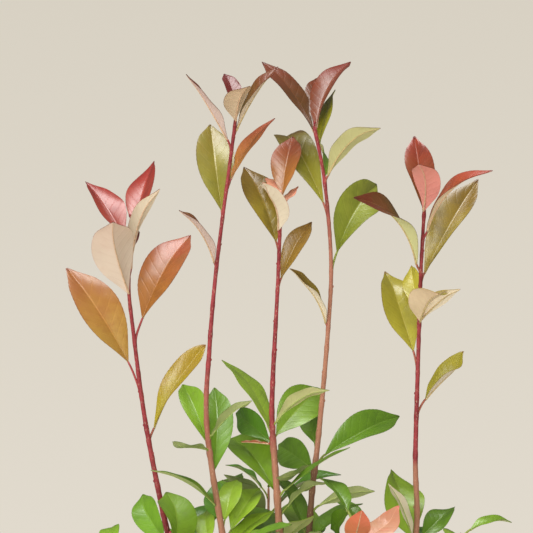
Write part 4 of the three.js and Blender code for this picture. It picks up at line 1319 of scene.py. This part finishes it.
def wood_radii(stem, lengths, nodes, wood):
    """A stem's radii: flared where it leaves older wood, and swollen a little at each node."""
    past = np.maximum(0, lengths - wood.flare_start)
    radii = stem_radius(stem, lengths) * (1 + wood.flare * np.exp(-past / wood.flare_reach))
    for node in nodes:
        radii = radii * (1 + wood.swell * np.exp(-((lengths - node) / wood.swell_reach) ** 2))
    return radii


def limb_tube(shell, limb, cell):
    stem, wood = limb.stem, LIMB_WOOD
    lengths = np.linspace(0, stem.total, int(stem.total / wood.step))
    centres = centre_line(stem, lengths)
    radii = wood_radii(stem, lengths, limb_nodes(limb), wood)
    radii = radii * lerp(wood.tip, 1, smooth(stem.total, stem.total - wood.tip_reach, lengths))
    rings, outward = tube_rings(centres, radii, wood.sides)
    rough = np.array([[noise.noise(Vector(p * wood.grain_scale)) for p in ring] for ring in rings])
    rings = rings + outward * (rough * wood.grain * np.clip(radii[:, None] / 2, 0.3, 2))[..., None]
    add_tube(shell, rings, "stem", stem_age(limb, centres[:, 2]), cell)


def trunk_tube(shell, cell):
    """The trunk, ridged where its roots begin and rough all the way up."""
    stem = make_stem(TRUNK.route, (1, 1))
    heights = np.arange(TRUNK.heights[0], TRUNK.heights[-1], TRUNK.step)
    centres = np.stack([np.interp(heights, stem.points[:, 2], stem.points[:, k]) for k in (0, 1)]
                       + [heights], 1)
    radii = np.interp(heights, TRUNK.heights, TRUNK.radii)
    rings, outward = tube_rings(centres, radii, TRUNK.sides)
    turn = np.arctan2(outward[..., 1], outward[..., 0])
    ridges = np.maximum(0, np.cos(TRUNK.roots * turn + TRUNK.root_turn))
    ridges = ridges * smooth(*TRUNK.root_heights, heights)[:, None] * TRUNK.root_depth
    relief = np.array([[noise.fractal(Vector(p * TRUNK.grain), 1.0, 2.0, 4) for p in ring]
                       for ring in rings])
    relief = relief * lerp(*TRUNK.relief, smooth(*TRUNK.relief_heights, heights))[:, None]
    add_tube(shell, rings + outward * (ridges + relief)[..., None], "bark", 2.0, cell)


def add_bud(shell, place, radius, bearing, size, age, cell):
    """A pointed bud, pressed against its stem."""
    lean = unit(heading(bearing, 0) * 0.3 + place.tangent)
    root = place.point + heading(bearing, 0) * radius * 0.85
    share = np.linspace(0, 1, BUD.rings)
    centres = root + lean[None] * (share * size * BUD.slender)[:, None]
    radii = size * np.sin(np.pi * np.clip(share * 0.8 + 0.16, 0, 0.985)) ** 0.9
    rings, _ = tube_rings(centres, radii, BUD.sides, (0.3, 0.5, 0.81))
    add_tube(shell, rings, "stem", age, cell)


def limb_buds(limb):
    """Each bud's place, stem radius, bearing, size and age: one above each node, one at the tip."""
    bearing = limb.seed * 31.0
    for node in limb_nodes(limb):
        place = at_length(limb.stem, node + BUD.above_node)
        near = [leaf for leaf in limb.leaves if abs(leaf[0] - place.point[2]) < 8]
        bearing = near[0][1] if near else bearing + GOLDEN_ANGLE
        age = float(stem_age(limb, place.point[2])) * 0.8
        yield place, place.radius, bearing, 0.22 * place.radius + 0.3, age
    tip = at_length(limb.stem, limb.stem.total - 1)
    yield tip, BUD.tip_radius, limb.seed * 17.0, BUD.tip_size, 0.0


def wood_piece():
    shell = Shell("wood")
    trunk_tube(shell, (0.01, 0.01, 0.1, 0.45))
    for i, limb in enumerate(LIMBS):
        limb_tube(shell, limb, (0.13 + 0.04 * i, 0.01, 0.034, 0.98))
    buds = [bud for limb in LIMBS for bud in limb_buds(limb)]
    for i, bud in enumerate(buds):
        row, column = divmod(i, BUD_CELLS.per_row)
        add_bud(shell, *bud, (BUD_CELLS.left + BUD_CELLS.wide * column,
                              BUD_CELLS.low + BUD_CELLS.high * row, 0.013, 0.026))
    piece = shell.build("bark", "age", bake=True)
    nodes = ["trunk"] + [f"{limb.name}_bough" for limb in LIMBS]
    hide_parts(*nodes, *[f"{limb.name}_shoot" for limb in LIMBS if "top" in limb.foliage])


def twig_piece():
    """Every twig that bears a leaf, ending just past its last one."""
    shell, wood = Shell("twigs"), TWIG_WOOD
    grown = [twig for limb in LIMBS for mass in limb.masses.values() for twig in mass.twigs]
    twigs = [twig for twig in grown if twig.reach]
    per_row = math.ceil(math.sqrt(len(twigs)))
    for i, twig in enumerate(twigs):
        lengths = np.linspace(0, min(twig.total, twig.reach + 1), wood.rings)
        nodes = [twig.total * k / TWIG.leaves for k in range(1, TWIG.leaves + 1)]
        radii = wood_radii(twig, lengths, nodes, wood)
        radii[-1] *= wood.tip
        rings, _ = tube_rings(centre_line(twig, lengths), radii, wood.sides)
        cell = ((i % per_row) / per_row, (i // per_row) / per_row, 0.9 / per_row, 0.9 / per_row)
        add_tube(shell, rings, "stem", lerp(*wood.ages, lengths / twig.total), cell)
    shell.build("bark", "age", bake=True)


wood_piece()
twig_piece()

# ---- Pot and soil meshes ----


def rounded(profile, radius, steps=5):
    """A profile with its corners rounded, except its two ends on the axis."""
    points = [np.array(p, float) for p in profile]
    out = [points[0]]
    for before, here, after in zip(points, points[1:], points[2:]):
        a, b = before - here, after - here
        cut = min(radius, np.linalg.norm(a) * 0.45, np.linalg.norm(b) * 0.45)
        start, end = here + unit(a) * cut, here + unit(b) * cut
        for share in np.linspace(0, 1, steps):
            out.append((1 - share) ** 2 * start + 2 * share * (1 - share) * here + share**2 * end)
    return np.array(out + [points[-1]])


def fill_profile(profile, step):
    """More points along the long stretches of a profile."""
    out = [profile[0]]
    for before, here in zip(profile, profile[1:]):
        count = max(1, int(np.linalg.norm(here - before) / step))
        out += [lerp(before, here, k / count) for k in range(1, count + 1)]
    return np.array(out)


def turned_shell(name, profile, sides, look, shift):
    """A closed turned body. shift moves its points, given radius, turn and height."""
    shell = Shell(name)
    turns = 2 * np.pi * np.arange(sides) / sides
    ring = profile[1:-1]
    radius, turn = np.meshgrid(ring[:, 0], turns, indexing="ij")
    height = np.broadcast_to(ring[:, 1][:, None], radius.shape)
    radius, height = shift(radius, turn, height)
    points = np.stack([radius * np.cos(turn), radius * np.sin(turn), height], axis=-1)
    start = shell.add_points(points)
    shell.add_faces(grid_faces(len(ring), sides, start, wrap=True), look)
    for end, row, flip in ((profile[0], 0, True), (profile[-1], len(ring) - 1, False)):
        pole = shell.add_points([[0, 0, end[1]]])
        here = start + row * sides + np.arange(sides)
        fan = np.stack([here, np.roll(here, -1), np.full(sides, pole)], axis=1)
        shell.add_faces(fan[:, ::-1] if flip else fan, look)
    return shell


def lathe_marks(radius, turn, height):
    """Shallow turning marks and a hand-made unevenness, none of it inside the pot's foot."""
    wavy = 0.12 * np.sin(height * 1.9 + 0.6 * np.sin(turn)) + 0.1 * np.sin(height * 0.71 + 1.3)
    uneven = 0.22 * np.sin(2 * turn + height * 0.012) + 0.12 * np.sin(5 * turn + height * 0.03)
    marked = smooth(2, 8, height) * smooth(30, 60, radius)
    return radius + (wavy + uneven) * marked, height


def cut_drains(pot):
    """Bores the drain holes through the pot's floor."""
    cutter = Shell("drain_cutter")
    for k in range(POT.drains):
        turn = 2 * math.pi * (k + 0.25) / POT.drains
        middle = np.array([POT.drain_circle * math.cos(turn), POT.drain_circle * math.sin(turn), 0])
        centres = middle + np.array([[0, 0, z] for z in np.linspace(-POT.floor, 2 * POT.floor, 4)])
        rings, _ = tube_rings(centres, [POT.drain] * 4, 32)
        add_tube(cutter, rings, "clay")
    tool = cutter.build("clay")
    cut = pot.modifiers.new("drains", "BOOLEAN")
    cut.operation, cut.object, cut.solver = "DIFFERENCE", tool, "EXACT"
    bpy.context.view_layer.update()
    mesh = bpy.data.meshes.new_from_object(pot.evaluated_get(bpy.context.evaluated_depsgraph_get()))
    pot.modifiers.clear()
    pot.data = mesh
    pot.data.name = "pot_body"
    bpy.data.objects.remove(tool)


def pot_piece():
    shoulder = POT.height - POT.rim_height
    lip = POT.rim - POT.edge
    profile = [
        (0, 0), (POT.foot - 1, 0), (POT.foot, 1), (POT.shoulder, shoulder), (POT.rim, shoulder + POT.edge),
        (POT.rim, POT.height - POT.edge), (lip, POT.height), (lip - POT.wall, POT.height),
        (POT.shoulder - POT.wall, shoulder - POT.step), (POT.foot - POT.wall, POT.floor), (0, POT.floor),
    ]
    profile = fill_profile(rounded(profile, POT.corner), 3)
    shell = turned_shell("pot_body", profile, POT.sides, "clay", lathe_marks)
    pot = shell.build("clay")
    cut_drains(pot)
    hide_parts("pot")


def soil_height(x, y):
    """The lumpy level of the soil above its flat middle."""
    return (1.6 * noise.fractal(Vector((x * 0.05, y * 0.05, 0.3)), 1.0, 2.0, 3)
            + 1.3 * noise.fractal(Vector((x * 0.3, y * 0.3, 4.0)), 0.8, 2.1, 4))


def soil_piece():
    bend = POT.height - POT.rim_height - POT.step
    inset = POT.wall + 2 * SOIL.gap
    brim = SOIL.top - SOIL.edge_drop
    brim_radius = lerp(POT.shoulder, POT.rim - POT.edge, (brim - bend) / (POT.height - bend)) - inset
    profile = np.array([
        (0, POT.floor + SOIL.gap), (POT.foot - inset, POT.floor + SOIL.gap), (POT.shoulder - inset, bend),
        (brim_radius, brim), (brim_radius - SOIL.edge_width, SOIL.top), (0, SOIL.top),
    ], float)
    profile = fill_profile(profile, 1.6)

    def lumps(radius, turn, height):
        x, y = radius * np.cos(turn), radius * np.sin(turn)
        rise = np.vectorize(soil_height)(x, y)
        return radius, height + rise * smooth(brim - 3, brim + 1, height)

    piece = turned_shell("soil_bed", profile, SOIL.sides, "soil:soil", lumps).build("soil")
    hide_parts("soil")
    return brim_radius


LUMP = SimpleNamespace(sides=7, rings=5, slim=(0.5, 0.9), uneven=(0.8, 0.4))


def add_lump(shell, centre, sizes, turn, look, random):
    """A rough pebble or chip."""
    share = np.linspace(0.12, 0.88, LUMP.rings)
    turns = 2 * np.pi * np.arange(LUMP.sides) / LUMP.sides
    least, more = LUMP.uneven
    radius = np.sin(np.pi * share)[:, None] * np.array(
        [[least + more * random() for _ in turns] for _ in share])
    height = np.broadcast_to(-np.cos(np.pi * share)[:, None], radius.shape)
    shape = np.stack([radius * np.cos(turns) * sizes[0], radius * np.sin(turns) * sizes[1],
                      height * sizes[2]], axis=-1)
    cos, sin = math.cos(turn), math.sin(turn)
    shape = shape @ np.array([[cos, sin, 0], [-sin, cos, 0], [0, 0, 1]])
    add_tube(shell, centre + shape, look)


CRUMBS = [  # look, how many, sizes, flatness
    ("soil:crumb", 900, (0.8, 2.6), 0.8),
    ("soil:chip", 150, (2.2, 6.0), 0.35),
    ("soil:grit", 60, (0.9, 1.9), 0.8),
]


def crumb_piece(brim_radius):
    shell = Shell("soil_crumbs")
    random = seeded_random(404)
    for look, count, sizes, flat in CRUMBS:
        for _ in range(count):
            reach = (brim_radius - SOIL.bare_edge) * math.sqrt(random())
            turn = 2 * math.pi * random()
            x, y = reach * math.cos(turn), reach * math.sin(turn)
            size = between(sizes, random)
            near_edge = smooth(brim_radius - SOIL.edge_width, brim_radius, reach)
            z = SOIL.top - SOIL.edge_drop * near_edge + soil_height(x, y) + size * flat * 0.3
            if math.hypot(x, y) < SOIL.bare_middle:
                continue
            lump = (size, size * between(LUMP.slim, random), size * flat)
            add_lump(shell, np.array([x, y, z]), lump, 2 * math.pi * random(), look, random)
    shell.build("soil", smooth_faces=False)


pot_piece()
crumb_piece(soil_piece())

# ---- Stage ----

VIEW = SimpleNamespace(x=-0.0108, z=0.6756, width=0.4264, distance=2.4, sensor=36)
WALL = ((225, 218, 205), (216, 209, 195))  # low and high
WALL_BLEND = 0.09  # the wall changes from 5 degrees below level to 5 above
LIGHT_COLOUR = (1.0, 0.99, 0.97)
LIGHTS = {  # place, size, power, whether leaves mirror it
    "top_light": ((-0.15, -0.3, 2.5), 1.4, 46, True),
    "left_light": ((-1.9, -1.5, 1.3), 1.2, 20, False),
    "front_light": ((-0.5, -2.4, 0.5), 1.8, 34, False),
}
WORLD_LIGHT, WORLD_GLOSS = 0.6, 0.12  # what the wall gives, and what shines back from leaves
AIM = Vector((0, 0, 0.5))
FLOOR_SIDES = 96


def add_camera():
    camera = add_object("camera", bpy.data.cameras.new("camera"))
    camera.location = (VIEW.x, -VIEW.distance, VIEW.z)
    camera.rotation_euler = (math.pi / 2, 0, 0)
    camera.data.sensor_width = VIEW.sensor
    camera.data.lens = VIEW.sensor * VIEW.distance / VIEW.width
    bpy.context.scene.camera = camera


def add_light(name, place, size, power, mirrored):
    data = bpy.data.lights.new(name, "AREA")
    data.shape, data.size, data.energy, data.color = "SQUARE", size, power, LIGHT_COLOUR
    lamp = add_object(name, data)
    lamp.location = place
    lamp.rotation_euler = (AIM - Vector(place)).to_track_quat("-Z", "Y").to_euler()
    lamp.visible_glossy = mirrored


def add_world():
    """A plain wall colour all round, which lights the plant and shines in it less than it shows."""
    graph = Graph(bpy.data.worlds.new("wall"), "ShaderNodeMixShader", "ShaderNodeOutputWorld")
    height = graph.split(graph.node("ShaderNodeTexCoord").outputs["Generated"])[2]
    wall = graph.mix(graph.ramp(height, -WALL_BLEND, WALL_BLEND, kind="LINEAR"), *WALL)
    ray = graph.node("ShaderNodeLightPath").outputs
    strength = graph.ramp(ray["Is Glossy Ray"], 0, 1, WORLD_LIGHT, WORLD_GLOSS, kind="LINEAR")
    given = graph.fill(graph.node("ShaderNodeBackground"), (WALL[0], strength))
    seen = graph.fill(graph.node("ShaderNodeBackground"), (wall,))
    graph.fill(graph.shader, (ray["Is Camera Ray"], given, seen))
    bpy.context.scene.world = graph.owner


def add_floor():
    mesh = bpy.data.meshes.new("floor")
    turns = 2 * np.pi * np.arange(FLOOR_SIDES) / FLOOR_SIDES
    ring = FLOOR_RADIUS * np.stack([np.cos(turns), np.sin(turns), np.zeros(FLOOR_SIDES)], axis=1)
    mesh.from_pydata(ring.tolist(), [], [list(range(FLOOR_SIDES))])
    mesh.materials.append(floor_material())
    floor = add_object("floor", mesh)
    floor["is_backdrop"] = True


bpy.context.scene.view_settings.view_transform = "Standard"
add_camera()
add_world()
for name, light in LIGHTS.items():
    add_light(name, *light)
add_floor()

boxes = {"cad": cad_box, "visual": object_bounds()}
{name: [list(corner) for corner in box] for name, box in boxes.items()}
